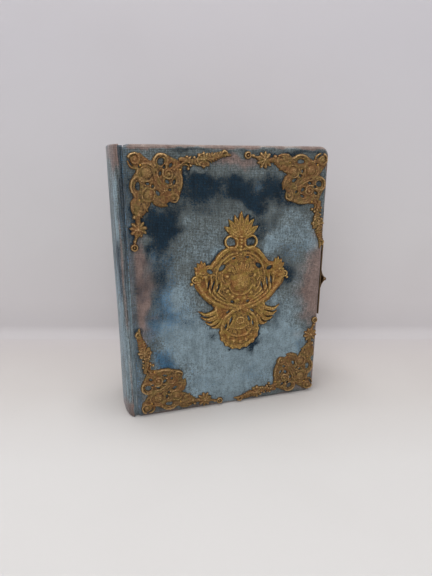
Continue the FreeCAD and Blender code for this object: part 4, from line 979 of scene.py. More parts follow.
def nap_at(x: Array, z: Array, patches: tuple[Patch, ...], seed: int,
           wander: Point2 = (7.0, 7.0)) -> Array:
    """The four channels of the cloth at each place.

    Args:
        x, z: Places on the flat cloth.
        patches: What lies where.
        seed: Fixed start of the noise.
        wander: How far patch edges stray along x and z.

    Returns:
        One row of pile, tan, pale and blue for each place.
    """
    wx = x + wander[0] * clouds(x, z, 16, seed) + 0.3 * wander[0] * clouds(x, z, 4, seed + 9)
    wz = z + wander[1] * clouds(x, z, 18, seed + 20) + 0.3 * wander[1] * clouds(x, z, 4, seed + 29)
    total = np.zeros((*x.shape, 4))
    for patch in patches:
        reach = ((wx - patch.x) / patch.reach_x) ** 2 + ((wz - patch.z) / patch.reach_z) ** 2
        share = np.exp(-reach ** 1.4)
        for channel, amount in enumerate((patch.pile, patch.tan, patch.pale, patch.blue)):
            if amount:
                total[..., channel] += amount * share
    for channel, (amount, size) in enumerate(NAP_NOISE):
        total[..., channel] += amount * clouds(x, z, size, seed + 40 + 10 * channel)
    return np.clip(total, 0, 1)


# Each side of a grid cell: the way to the next cell, and the side's two points.
CELL_SIDES = (((0, -1), (0, 0), (1, 0)), ((1, 0), (1, 0), (1, 1)),
              ((0, 1), (1, 1), (0, 1)), ((-1, 0), (0, 1), (0, 0)))


@dataclass
class VelvetCover:
    """One velvet-covered board, rolled over its edges, standing in the XZ plane."""

    name: str
    node: str
    body: str
    patches: tuple[Patch, ...]
    seed: int
    facing: int
    grid: float = 1.15
    edge_roll: float = 3.0
    inner_roll: float = 1.8
    turn_in: float = 12.0
    spine_round: float = 1.0
    fore_round: float = 7.0
    sag: float = 0.35
    hole: Triple | None = None

    def build(self) -> Thing:
        """Make the covered board.

        Returns:
            The closed velvet piece.
        """
        low, high = corners(self.node)
        roll = self.edge_roll
        box = (low[0] + roll, high[0] - roll, low[2] + roll, high[2] - roll)
        x0, x1, z0, z1 = box
        self.depth = high[1] - low[1]
        xs, zs = (np.linspace(a, b, int((b - a) / self.grid) + 1) for a, b in ((x0, x1), (z0, z1)))
        gx, gz = np.meshgrid(xs, zs, indexing="ij")
        px, pz = self._rounded(gx, gz, box)
        sunk = self.sag * (0.5 + 0.5 * clouds(px, pz, 30, self.seed + 3))
        sunk += 0.22 * (0.5 + 0.5 * clouds(px, pz, 5, self.seed + 5))
        sunk *= smooth_step(np.minimum.reduce([gx - x0, x1 - gx, gz - z0, z1 - gz]), 0.0, 9.0)
        numbers = np.arange(gx.size).reshape(gx.shape)
        quads, wall = cells(numbers), []
        if self.hole:
            quads, wall = self._cut(px, pz, numbers)
        faces = quads.reshape(-1, 4).tolist()
        face = np.stack([px, sunk, pz], -1).reshape(-1, 3)
        rim = round_rim(numbers)
        rings, bands = self._roll_over(face[rim], self._rim_normals(gx, gz, box, rim), rim)
        verts = np.concatenate([face, *rings])
        faces += bands
        if wall:
            verts, walls = self._line_hole(verts, wall)
            faces += walls
        nap = nap_at(verts[:, 0] - (low[0] - JOINT_GAP), verts[:, 2], self.patches, self.seed)
        self._wear_edges(nap, verts, low, high)
        verts[:, 1] = (low[1] if self.facing < 0 else high[1]) - self.facing * verts[:, 1]
        made = piece(self.name, verts, faces, [VELVET.material()])
        store(made, "nap", "FLOAT_COLOR", nap)
        with edited(made) as mesh:
            loose = [v for v in mesh.verts if not v.link_faces]
            bmesh.ops.delete(mesh, geom=loose, context="VERTS")
        outward(made, Vector((0, -self.facing, 0)))
        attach(made, self.body)
        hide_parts(self.node)
        return made

    def _roll_over(self, start: Array, normals: Array, rim: Array) -> tuple[list[Array], list]:
        """Take the cloth over the board's edge and in under it.

        Args:
            start: The points of the face's rim.
            normals: Their outward directions in the plane.
            rim: Their point numbers.

        Returns:
            The rings of new points and the faces between them.
        """
        rings, faces, last = [], [], rim
        first = int(rim.max()) + 1
        for out, down in self._profile():
            ring = start.copy()
            wobble = 0.22 * clouds(start[:, 0] + 3 * down, start[:, 2], 13, self.seed + 11)
            ring[:, [0, 2]] += normals * (out + wobble)[:, None]
            ring[:, 1] = down
            now = np.arange(first, first + len(rim))
            faces += band(last, now)
            rings.append(ring)
            last, first = now, first + len(rim)
        return rings, faces

    def _arcs(self, box: Box) -> list[tuple[float, int, float, int, float]]:
        """The face's four corners.

        Args:
            box: Its lowest and highest x, then z.

        Returns:
            The x, inward x direction, z, inward z direction and radius of each.
        """
        x0, x1, z0, z1 = box
        return [(cx, sx, cz, sz, r)
                for cx, sx, r in ((x0, 1, self.spine_round), (x1, -1, self.fore_round))
                for cz, sz in ((z0, 1), (z1, -1))]

    def _rounded(self, gx: Array, gz: Array, box: Box) -> tuple[Array, Array]:
        """Pull a square grid's corners into arcs.

        Args:
            gx, gz: The grid.
            box: Its lowest and highest x, then z.

        Returns:
            The moved x and z.
        """
        px, pz = gx.copy(), gz.copy()
        for cx, sx, cz, sz, r in self._arcs(box):
            a = 1 - (gx - cx) * sx / r
            b = 1 - (gz - cz) * sz / r
            here = (a > 0) & (b > 0)
            top = np.maximum(a, b)
            angle = math.pi / 4 * np.minimum(a, b) / np.where(top > 0, top, 1)
            along, across = top * np.cos(angle), top * np.sin(angle)
            px = np.where(here, cx + sx * r * (1 - np.where(a >= b, along, across)), px)
            pz = np.where(here, cz + sz * r * (1 - np.where(a >= b, across, along)), pz)
        return px, pz

    def _rim_normals(self, gx: Array, gz: Array, box: Box, rim: Array) -> Array:
        """Outward directions in the plane along the face's rim.

        Args:
            gx, gz: The square grid before rounding.
            box: Its lowest and highest x, then z.
            rim: Point numbers round the rim.

        Returns:
            One unit vector for each rim point.
        """
        x0, x1, z0, z1 = box
        rx, rz = gx.ravel()[rim], gz.ravel()[rim]
        px, pz = self._rounded(rx, rz, box)
        out = np.stack([np.where(rx <= x0, -1.0, np.where(rx >= x1, 1.0, 0.0)),
                        np.where(rz <= z0, -1.0, np.where(rz >= z1, 1.0, 0.0))], -1)
        for cx, sx, cz, sz, r in self._arcs(box):
            here = ((rx - cx) * sx < r) & ((rz - cz) * sz < r)
            away = np.stack([px - (cx + sx * r), pz - (cz + sz * r)], -1)
            away /= np.maximum(np.linalg.norm(away, axis=1, keepdims=True), 1e-9)
            out = np.where(here[:, None], away, out)
        return out

    def _profile(self) -> list[Point2]:
        """How far out and how deep the cloth goes over the edge and in under it.

        Returns:
            The stations in order.
        """
        roll, inner, depth = self.edge_roll, self.inner_roll, self.depth
        end = roll - self.turn_in - 0.1
        outer_turn, inner_turn = (np.linspace(0, math.pi / 2, n) for n in (7, 6))
        return [*((roll * math.sin(a), roll * (1 - math.cos(a))) for a in outer_turn[1:]),
                (roll, (roll + depth - inner) / 2),
                *((roll - inner * (1 - math.cos(a)), depth - inner + inner * math.sin(a))
                  for a in inner_turn),
                *((roll - inner - (self.turn_in - inner) * t, depth) for t in (0.35, 0.7, 1.0)),
                (end, depth - 0.5), (end, depth - 0.8)]

    def _cut(self, px: Array, pz: Array, numbers: Array) -> tuple[Array, list[tuple[int, int]]]:
        """Open a round hole in the face and pull its edge to a circle.

        Args:
            px, pz: The face's points, which are moved in place.
            numbers: Their point numbers.

        Returns:
            The kept cells and the edges round the hole.
        """
        hx, hz, radius = self.hole
        middle_x = (px[:-1, :-1] + px[1:, 1:]) / 2
        middle_z = (pz[:-1, :-1] + pz[1:, 1:]) / 2
        keep = np.hypot(middle_x - hx, middle_z - hz) > radius
        wall = []
        for i, k in zip(*np.nonzero(~keep)):
            for (di, dk), (ai, ak), (bi, bk) in CELL_SIDES:
                if keep[i + di, k + dk]:
                    wall.append((int(numbers[i + ai, k + ak]), int(numbers[i + bi, k + bk])))
        rim = np.isin(numbers, wall)
        away = np.hypot(px - hx, pz - hz)
        px[rim] = (hx + (px - hx) * radius / away)[rim]
        pz[rim] = (hz + (pz - hz) * radius / away)[rim]
        return cells(numbers)[keep], wall

    def _line_hole(self, verts: Array, wall: list[tuple[int, int]]) -> tuple[Array, list]:
        """Take the cloth down round the edge of the hole.

        Args:
            verts: The cloth's points so far.
            wall: The edges round the hole.

        Returns:
            The points with a lower ring added, and the new faces.
        """
        loop = np.unique(wall)
        below = {int(a): len(verts) + k for k, a in enumerate(loop)}
        lower = verts[loop]
        lower[:, 1] = self._profile()[-1][1]
        return np.concatenate([verts, lower]), [[a, b, below[b], below[a]] for a, b in wall]

    def _wear_edges(self, nap: Array, verts: Array, low: Array, high: Array) -> None:
        """Rub the pile off along the rolled edges.

        Args:
            nap: The cloth's channels, changed in place.
            verts: Its points, with y as the depth below the face.
            low, high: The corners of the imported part.
        """
        x, y, z = verts.T
        pile, tan, pale, blue = nap.T
        rub = clouds(x, z, 11, self.seed + 80)
        edge = np.minimum.reduce([high[2] - z, high[0] + 1.2 - x, z - low[2] + 1.6])
        over = np.maximum(smooth_step(y, 0.4, 2.4),
                          0.85 * smooth_step(4.4 + 2.0 * rub - edge, 0, 2.6))
        joint = smooth_step(low[0] + 9 - x, 0, 6) * (self.facing < 0)
        under = smooth_step(y, self.depth - 2.5, self.depth - 0.5)
        worn_tan = over * (0.9 + 0.3 * rub) * (1 - 0.8 * joint)
        pile[:] = np.clip(pile * (1 - 0.9 * over) + 0.7 * under, 0, 1)
        tan[:] = np.clip(tan * (1 - 0.6 * joint) + worn_tan, 0, 1)
        pale[:] = np.clip(pale + over * (0.62 - 0.4 * rub), 0, 1)
        blue[:] = np.clip(blue + 0.35 * joint, 0, 1)


def pile_and_shade_round(cloth: Thing, mounts: list[Thing], reach: float, share: float) -> None:
    """Darken the cloth close beside what is fixed on it, as unworn pile and as painted contact
    shade.

    Args:
        cloth: The velvet piece.
        mounts: What covers it.
        reach: How far the dark pile and painted shade reach, in millimetres.
        share: How much of it there is.
    """
    spots = np.concatenate([np.array([v.co for v in m.data.vertices])[::3] for m in mounts]) / MM
    tree = KDTree(len(spots))
    for number, (x, _, z) in enumerate(spots):
        tree.insert((x, z, 0), number)
    tree.balance()
    places = np.array([v.co for v in cloth.data.vertices]) / MM
    face = places[:, 1] < places[:, 1].min() + 1.5
    away = np.array([tree.find((x, z, 0))[2] if near else 99.0
                     for (x, _, z), near in zip(places, face)])
    x, z = places[:, 0], places[:, 2]
    ragged = 0.25 + 1.1 * clouds(x, z, 11, 707) + 0.5 * clouds(x, z, 3, 717)
    # The dark halo is partly unworn pile and partly painted contact shade.
    kept = smooth_step(ragged * reach - away, -0.6, 1.6)
    layer = cloth.data.attributes["nap"]
    nap = np.zeros(len(places) * 4, dtype=np.float32)
    layer.data.foreach_get("color", nap)
    pile = nap[Dye.PILE.value::4]
    pile[:] = np.clip(pile + share * kept, 0, 1)
    layer.data.foreach_set("color", nap)


# Dents in the spine: depth, places round and up it, and reaches round and up it.
SPINE_DENTS = ((0.55, 5, 246, 6, 5), (0.9, 10, 150, 9, 34), (0.5, 40, 90, 20, 40))
# Streaks down the spine: channel, width and strength.
SPINE_STREAKS = ((Dye.PILE, 2.4, 0.3), (Dye.TAN, 3.1, 0.3), (Dye.PALE, 2.0, 0.5))
# The section of a groove strip: x from the ridge, and depth below the cover's face.
STRIP_LINE = np.array([(-0.9, 1.35), (-0.2, 1.05), (0.35, 1.5), (0.75, 2.5), (1.25, 3.5),
                       (1.75, 3.9), (2.3, 3.8), (2.8, 3.4), (3.6, 3.2)])


@dataclass
class Spine:
    """The round velvet spine and the two strips at the joints."""

    grid: float = 1.3
    layer: float = 1.0
    roll: float = 1.6
    strip_layer: float = 0.8
    strip_grid: float = 2.0
    seed: int = 500

    def build(self) -> list[Thing]:
        """Make the spine and both strips.

        Returns:
            The three pieces.
        """
        front, back = corners("front_velvet"), corners("back_velvet")
        low, high = corners("spine_velvet")
        self.height = high[2]
        self.y_front, self.y_back = front[0][1], back[1][1]
        self.ridge = front[0][0] - JOINT_GAP - 1.0
        self.half = (self.y_back - self.y_front) / 2 - 1.0
        self.middle = (self.y_back + self.y_front) / 2
        self.bulge = self.ridge - low[0]
        pieces = [self._round(), self._strip("front"), self._strip("back")]
        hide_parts("spine_velvet")
        return pieces

    def _arc(self, inset: float, count: int = 0) -> tuple[Array, float]:
        """The cross-section from the front ridge round to the back ridge, evenly spaced.

        Args:
            inset: How far inside the outer surface it runs.
            count: How many points; 0 spaces them by the grid.

        Returns:
            Rows of x and y, and the length of the curve.
        """
        fine = np.linspace(-math.pi / 2, math.pi / 2, 720)
        x = self.ridge - (self.bulge - inset) * np.cos(fine)
        y = self.middle + (self.half - inset) * np.sin(fine)
        run = np.concatenate([[0], np.cumsum(np.hypot(np.diff(x), np.diff(y)))])
        at = np.linspace(0, run[-1], count or int(run[-1] / self.grid) + 1)
        return np.stack([np.interp(at, run, x), np.interp(at, run, y)], -1), run[-1]

    def _round(self) -> Thing:
        """The curved velvet back.

        Returns:
            The closed piece.
        """
        outer, length = self._arc(0.0)
        inner, _ = self._arc(self.layer, len(outer))
        tangent = np.gradient(outer, axis=0)
        normal = np.stack([tangent[:, 1], -tangent[:, 0]], -1)
        normal /= np.linalg.norm(normal, axis=1, keepdims=True)
        normal *= -np.sign((normal * (outer - [self.ridge, self.middle])).sum(1, keepdims=True))
        roll, height = self.roll, self.height
        ends = roll * (1 - np.cos(np.linspace(0, math.pi / 2, 5)))
        zs = np.concatenate([ends, np.arange(roll + self.grid, height - roll, self.grid),
                             height - ends[::-1]])
        gs, gz = np.meshgrid(np.linspace(0, length, len(outer)), zs, indexing="ij")
        edge = np.minimum(gz, height - gz)
        tuck = np.where(edge < roll,
                        roll - np.sqrt(np.maximum(roll ** 2 - (roll - edge) ** 2, 0)), 0)
        sunk = 0.2 + 0.22 * clouds(gs, gz * 0.12, 5, self.seed)
        dents = sum(deep * np.exp(-((gs - s) / wide) ** 2 - ((gz - z) / tall) ** 2)
                    for deep, s, z, wide, tall in SPINE_DENTS)
        held = smooth_step(np.minimum(gs, length - gs), 0, 4)
        sunk = (tuck + np.clip(sunk + dents, 0, 0.68 * self.layer) * held)[..., None]
        level = gz[..., None]
        top = np.concatenate([outer[:, None] + normal[:, None] * sunk, level], -1)
        under = np.concatenate([inner[:, None] + normal[:, None] * np.clip(sunk - 0.1, 0, 9),
                                level], -1)
        made = slab("spine_cloth", top, under, SPINE_VELVET)
        nap = nap_at(gs, gz, SPINE_PATCHES, self.seed, (1.2, 9.0))
        for dye, size, amount in SPINE_STREAKS:
            streak = clouds(gs, gz * 0.06, size, self.seed + 90 + dye.value)
            nap[..., dye.value] = np.clip(nap[..., dye.value] + amount * streak, 0, 1)
        store(made, "nap", "FLOAT_COLOR", [nap, nap])
        outward(made)
        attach(made, "spine")
        return made

    def _strip(self, side: str) -> Thing:
        """The velvet that dips into a groove at a joint.

        Args:
            side: Either front or back.

        Returns:
            The closed strip.
        """
        face, way, seed = {"front": (self.y_front, 1, 30), "back": (self.y_back, -1, 60)}[side]
        zs = np.arange(0.9, self.height - 0.5, self.strip_grid)
        gi, gz = np.meshgrid(np.arange(len(STRIP_LINE)), zs, indexing="ij")
        gx = self.ridge + STRIP_LINE[:, None, 0] + 0 * gz
        depth = STRIP_LINE[:, None, 1] + 0.22 * clouds(gi * 3.0, gz, 9, self.seed + seed)
        made = slab(f"joint_strip_{side}", np.stack([gx, face + way * depth, gz], -1),
                    np.stack([gx, face + way * (depth + self.strip_layer), gz], -1), SPINE_VELVET)
        across = gi / (len(STRIP_LINE) - 1.0)
        upper = smooth_step(gz, 110, 190)
        pile = 0.62 * upper * smooth_step(-across, -1.0, -0.3)
        pile += 0.3 * clouds(gi * 3.0, gz, 7, self.seed + 33) * upper
        tan = 0.2 + 0.4 * clouds(gi * 4.0, gz * 0.3, 6, self.seed + 37)
        pale = (1 - upper) * (1.0 + 0.3 * clouds(gi * 5.0, gz * 0.2, 6, self.seed + 35))
        nap = np.clip(np.stack([pile, tan, pale, 0.5 * upper], -1), 0, 1)
        store(made, "nap", "FLOAT_COLOR", [nap, nap])
        outward(made)
        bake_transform(made)
        return made


# ---------------------------------------------------------------------------------- stamped relief
def each(draw: Callable[..., None], *rows: tuple) -> None:
    """Call a drawing method once with each row of values."""
    for row in rows:
        draw(*row)


class Relief:
    """A stamped sheet drawn on a fine grid: where it is, and how far each place stands out."""

    def __init__(self, low: Point2, high: Point2, pitch: float) -> None:
        """Lay out an empty sheet.

        Args:
            low, high: Its corners.
            pitch: The grid's spacing.
        """
        self.pitch = pitch
        u, v = (np.arange(a, b + pitch, pitch) for a, b in zip(low, high))
        self.grid = u, v = np.meshgrid(u, v, indexing="ij")
        self.u = u + 1.0 * clouds(u, v, 13, 61) + 0.42 * clouds(u, v, 4, 71)
        self.v = v + 1.0 * clouds(u, v, 13, 81) + 0.42 * clouds(u, v, 4, 91)
        self.inside = np.full(u.shape, -60.0)
        self.height = np.zeros(u.shape)

    def lay(self, inside: Array, rise: Array) -> None:
        """Add a shape: how far each place is inside its edge, and how far it stands out."""
        self.inside = np.maximum(self.inside, inside)
        self.height = np.where(inside > 0, np.maximum(self.height, rise), self.height)

    def boss(self, u: float, v: float, radius: float, rise: float) -> None:
        """A round dome.

        Args:
            u, v: Its middle.
            radius: Its radius.
            rise: Its height.
        """
        away = np.hypot(self.u - u, self.v - v)
        dome = np.sqrt(np.clip(1 - (away / radius) ** 2, 0, 1))
        self.lay(radius - away, rise * dome ** 0.8)

    def ring(self, u: float, v: float, radius: float, tube: float, rise: float,
             start: float = 0.0, sweep: float = 360.0) -> None:
        """A raised ring or an arc of one, with round ends.

        Args:
            u, v: Its middle.
            radius: From the middle to the ridge.
            tube: Half the ridge's width.
            rise: The ridge's height.
            start: Where an arc starts, in degrees.
            sweep: How far it goes.
        """
        if sweep >= 360:
            away = np.abs(np.hypot(self.u - u, self.v - v) - radius)
            self.lay(tube - away, rise * np.sqrt(np.clip(1 - (away / tube) ** 2, 0, 1)))
            return
        turns = np.radians(start + np.linspace(0, sweep, max(6, int(sweep / 12))))
        self.strand([(u + radius * math.cos(t), v + radius * math.sin(t), tube) for t in turns],
                    rise, smooth=False)

    def strand(self, line: list[Triple], rise: float, ribs: float = 0.0, vein: float = 0.0,
               smooth: bool = True) -> None:
        """A ridge along a curve.

        Args:
            line: The curve's points, each u, v and half the ridge's width there.
            rise: Its height where it is widest.
            ribs: Pitch of notches across it; 0 has none.
            vein: Depth of a groove along its middle.
            smooth: Whether the points are joined by a smooth curve.
        """
        rows = np.array(line, float)
        if smooth and len(rows) > 2:
            rows = self._curve(rows)
        best = np.full(self.u.shape, 1e9)
        near_w = np.full(self.u.shape, 1e-3)
        near_s = np.zeros(self.u.shape)
        run = 0.0
        for (au, av, wa), (bu, bv, wb) in zip(rows[:-1], rows[1:]):
            du, dv = bu - au, bv - av
            size = float(np.hypot(du, dv))
            if size < 1e-6:
                continue
            t = np.clip(((self.u - au) * du + (self.v - av) * dv) / size ** 2, 0, 1)
            wide = wa + (wb - wa) * t
            score = np.hypot(self.u - au - t * du, self.v - av - t * dv) - wide
            closer = score < best
            best = np.where(closer, score, best)
            near_w = np.where(closer, wide, near_w)
            near_s = np.where(closer, run + t * size, near_s)
            run += size
        across = np.clip((best + near_w) / np.maximum(near_w, 1e-3), 0, 1)
        crown = np.sqrt(1 - across ** 2)
        tall = rise * (0.45 + 0.55 * np.clip(near_w / rows[:, 2].max(), 0, 1)) * crown
        if vein:
            tall = tall - vein * np.exp(-(across / 0.28) ** 2)
        if ribs:
            tall = tall * (0.8 + 0.2 * np.cos(2 * math.pi * near_s / ribs))
        self.lay(-best, tall)

    @staticmethod
    def _curve(rows: Array) -> Array:
        """A smooth curve through the points of a strand.

        Args:
            rows: Its u, v and half width at each point.

        Returns:
            The same with more points between them.
        """
        ends = np.vstack([2 * rows[0] - rows[1], rows, 2 * rows[-1] - rows[-2]])
        out = []
        for k in range(1, len(ends) - 2):
            p0, p1, p2, p3 = ends[k - 1:k + 3]
            for t in np.linspace(0, 1, 7)[:-1]:
                out.append(0.5 * (2 * p1 + (p2 - p0) * t + (2 * p0 - 5 * p1 + 4 * p2 - p3) * t ** 2
                                  + (3 * p1 - p0 - 3 * p2 + p3) * t ** 3))
        out = np.array([*out, rows[-1]])
        out[:, 2] = np.maximum(out[:, 2], 0.05)
        return out

    def leaf(self, base: Point2, tip: Point2, half: float, rise: float, bend: float = 0.0) -> None:
        """A pointed leaf with a groove down its middle.

        Args:
            base, tip: Its ends.
            half: Half its greatest width.
            rise: Its height.
            bend: How far its middle strays sideways.
        """
        a, b = np.array(base, float), np.array(tip, float)
        side = np.array([-(b - a)[1], (b - a)[0]])
        side /= max(np.hypot(*side), 1e-6)
        widths = (half * 0.6, half, half * 0.9, half * 0.55, 0.12)
        self.strand([(*(a + (b - a) * t + side * bend * 4 * t * (1 - t)), width)
                     for t, width in zip((0, 0.25, 0.5, 0.75, 1), widths)], rise,
                    vein=rise * 0.28)

    def spiral(self, u: float, v: float, radius: float, tube: float, rise: float,
               turns: float, start: float, way: int = 1) -> None:
        """A scroll that curls inward.

        Args:
            u, v: Its middle.
            radius: Where it starts.
            tube: Half its width at the start.
            rise: Its height.
            turns: How often it goes round.
            start: Where it starts, in degrees.
            way: 1 or -1 for its direction.
        """
        t = np.linspace(0, 1, int(14 * turns) + 4)
        angle = math.radians(start) + way * t * turns * 2 * math.pi
        r = radius * (1 - 0.78 * t)
        self.strand(list(zip(u + r * np.cos(angle), v + r * np.sin(angle),
                             tube * (1 - 0.45 * t))), rise, smooth=False)

    def flower(self, u: float, v: float, radius: float, petals: int, rise: float,
               turn: float, notch: float = 0.36) -> None:
        """A flower of pointed petals with a round eye.

        Args:
            u, v: Its middle.
            radius: From the middle to a petal's tip.
            petals: How many it has.
            rise: Its height.
            turn: Its turn in degrees.
            notch: How far the gaps between petals reach in, as a share of the radius.
        """
        du, dv = self.u - u, self.v - v
        away = np.hypot(du, dv)
        angle = np.arctan2(dv, du) + math.radians(turn)
        lobe = np.abs(np.cos(petals * angle / 2))
        edge = radius * (1 - notch + notch * lobe ** 1.3)
        fold = rise * (0.35 + 0.65 * lobe) * np.clip(1 - (away / edge) ** 2, 0, 1) ** 0.4
        self.lay(edge - away, fold)
        self.boss(u, v, radius * 0.3, rise * 1.12)

    def web(self, points: list[Point2], rise: float) -> None:
        """A flat web of sheet inside a polygon.

        Args:
            points: The polygon's corners, in order round it.
            rise: Its height.
        """
        poly = np.array(points, float)
        inside = np.zeros(self.u.shape, bool)
        away = np.full(self.u.shape, 1e9)
        for (ax, ay), (bx, by) in zip(poly, np.roll(poly, -1, axis=0)):
            inside ^= ((ay > self.v) != (by > self.v)) & \
                (self.u < (bx - ax) * (self.v - ay) / ((by - ay) or 1e-9) + ax)
            step = np.array([bx - ax, by - ay])
            t = np.clip(((self.u - ax) * step[0] + (self.v - ay) * step[1]) / (step @ step), 0, 1)
            away = np.minimum(away, np.hypot(self.u - ax - t * step[0], self.v - ay - t * step[1]))
        self.lay(np.where(inside, away, -away), np.where(inside, rise, 0))

    def hole(self, u: float, v: float, across: float, along: float, turn: float = 0.0) -> None:
        """An opening with a slightly raised lip.

        Args:
            u, v: Its middle.
            across, along: Its half sizes.
            turn: Its turn in degrees.
        """
        c, s = math.cos(math.radians(turn)), math.sin(math.radians(turn))
        du, dv = self.u - u, self.v - v
        a, b = c * du + s * dv, -s * du + c * dv
        away = (np.hypot(a / across, b / along) - 1) * min(across, along)
        self.inside = np.minimum(self.inside, away)
        self.height += 0.35 * np.exp(-((away - 0.6) / 0.6) ** 2)

    def mesh(self, name: str, place: Callable[[Array, Array], tuple[Array, Array]], base: float,
             plate: float, finish: Finish) -> Thing:
        """Turn the drawing into a closed stamped sheet that faces forward.

        Args:
            name: The piece's name.
            place: Turns u and v into x and z.
            base: The y of the cloth under it.
            plate: Thickness of the flat sheet.
            finish: Its finish.

        Returns:
            The piece, with the relief attribute, which holds painted light and shade.
        """
        inside, p = self.inside, self.pitch
        centre = (inside[:-1, :-1] + inside[1:, :-1] + inside[1:, 1:] + inside[:-1, 1:]) / 4
        keep = self._one_piece(centre > 0)
        counts = np.zeros(inside.shape, int)
        for a in (slice(0, -1), slice(1, None)):
            for b in (slice(0, -1), slice(1, None)):
                counts[a, b] += keep
        used, edge = counts > 0, (counts > 0) & (counts < 4)
        gu, gv = np.gradient(inside, p)
        size = np.maximum(gu ** 2 + gv ** 2, 0.09)
        shift = np.clip(-inside / size, -0.55 * p, 0.55 * p) * edge
        flat_u, flat_v = self.grid
        tall, light_and_shade = self._surface(used, edge, plate)
        number = np.full(inside.shape, -1)
        total = int(used.sum())
        number[used] = np.arange(total)
        x, z = place((flat_u + shift * gu)[used], (flat_v + shift * gv)[used])
        top, low = (np.stack([x, np.broadcast_to(y, x.shape), z], -1)
                    for y in (base - tall[used], base))
        quads = cells(number)[keep]
        faces = quads.tolist() + (quads[:, ::-1] + total).tolist()
        faces += self._walls(keep, number, total)
        made = piece(name, np.concatenate([top, low]), faces, [finish.material()])
        # The relief attribute carries the painted shade and the painted highlight.
        store(made, "relief", "FLOAT", [light_and_shade[used], np.zeros(total)])
        return outward(made)

    def _surface(self, used: Array, edge: Array, plate: float) -> tuple[Array, Array]:
        """The sheet's outer face with the chaser's marks on it.

        Args:
            used: The points that are kept.
            edge: Those on the rim.
            plate: Thickness of the flat sheet.

        Returns:
            How far each point stands out, and how much light it catches.
        """
        u, v = self.grid
        ground = 1 - smooth_step(self.height, 0.7, 1.5)
        ridged = 1 - np.abs(clouds(u, v, 4.4, 3, 2)) * 2.4
        marks = 0.3 * clouds(u, v, 2.4, 7) + 0.16 * clouds(u, v, 1.1, 17)
        marks += 0.75 * ground * np.clip(ridged, 0, 1)
        tall = plate + (self.height + marks) * smooth_step(self.inside, -0.2, 1.3)
        tall = np.where(edge, np.minimum(tall, plate * 0.55), tall)
        reach = max(2, int(1.6 / self.pitch))
        cavity = tall - self._blur(np.where(used, tall, plate * 0.4), reach)
        # Painted light: hollows come out darker as painted shade, ridges and taller parts lighter as
        # a painted highlight.
        return tall, np.clip(0.46 + 0.36 * cavity + 0.11 * (tall - plate - 0.9), 0, 1)

    @staticmethod
    def _one_piece(keep: Array) -> Array:
        """Find the largest part of a drawing that hangs together.

        Args:
            keep: Its cells.

        Returns:
            Only the cells of that part.
        """
        left = keep.copy()
        best = np.zeros_like(keep)
        for _ in range(12):
            if left.sum() <= best.sum():
                break
            grown = np.zeros_like(keep)
            cells_left = np.argwhere(left)
            grown[tuple(cells_left[len(cells_left) // 2])] = True
            while True:
                wide = grown.copy()
                wide[1:] |= grown[:-1]
                wide[:-1] |= grown[1:]
                wide[:, 1:] |= grown[:, :-1]
                wide[:, :-1] |= grown[:, 1:]
                wide &= keep
                if wide.sum() == grown.sum():
                    break
                grown = wide
            if grown.sum() > best.sum():
                best = grown
            left &= ~grown
        return best

    @staticmethod
    def _blur(values: Array, reach: int) -> Array:
        """The average over a square.

        Args:
            values: The grid of values.
            reach: Half the square's width in cells.

        Returns:
            The averages.
        """
        for axis in (0, 1):
            total = sum(np.roll(values, shift, axis) for shift in range(-reach, reach + 1))
            values = total / (2 * reach + 1)
        return values

    @staticmethod
    def _walls(keep: Array, number: Array, total: int) -> list[list[int]]:
        """Faces down the rim of the sheet.

        Args:
            keep: The kept cells.
            number: Point numbers of the grid.
            total: How many points the front has.

        Returns:
            The wall faces.
        """
        padded = np.pad(keep, 1)
        rows, columns = padded.shape
        faces = []
        for (di, dk), (ai, ak), (bi, bk) in CELL_SIDES:
            beside = padded[1 + di:rows - 1 + di, 1 + dk:columns - 1 + dk]
            for i, k in zip(*np.nonzero(keep & ~beside)):
                a, b = int(number[i + ai, k + ak]), int(number[i + bi, k + bk])
                faces.append([b, a, a + total, b + total])
        return faces


class Corner(Enum):
    """The mounts at the front cover's four corners."""

    HEAD_SPINE = "corner_head_spine"
    HEAD_FORE = "corner_head_fore"
    TAIL_SPINE = "corner_tail_spine"
    TAIL_FORE = "corner_tail_fore"


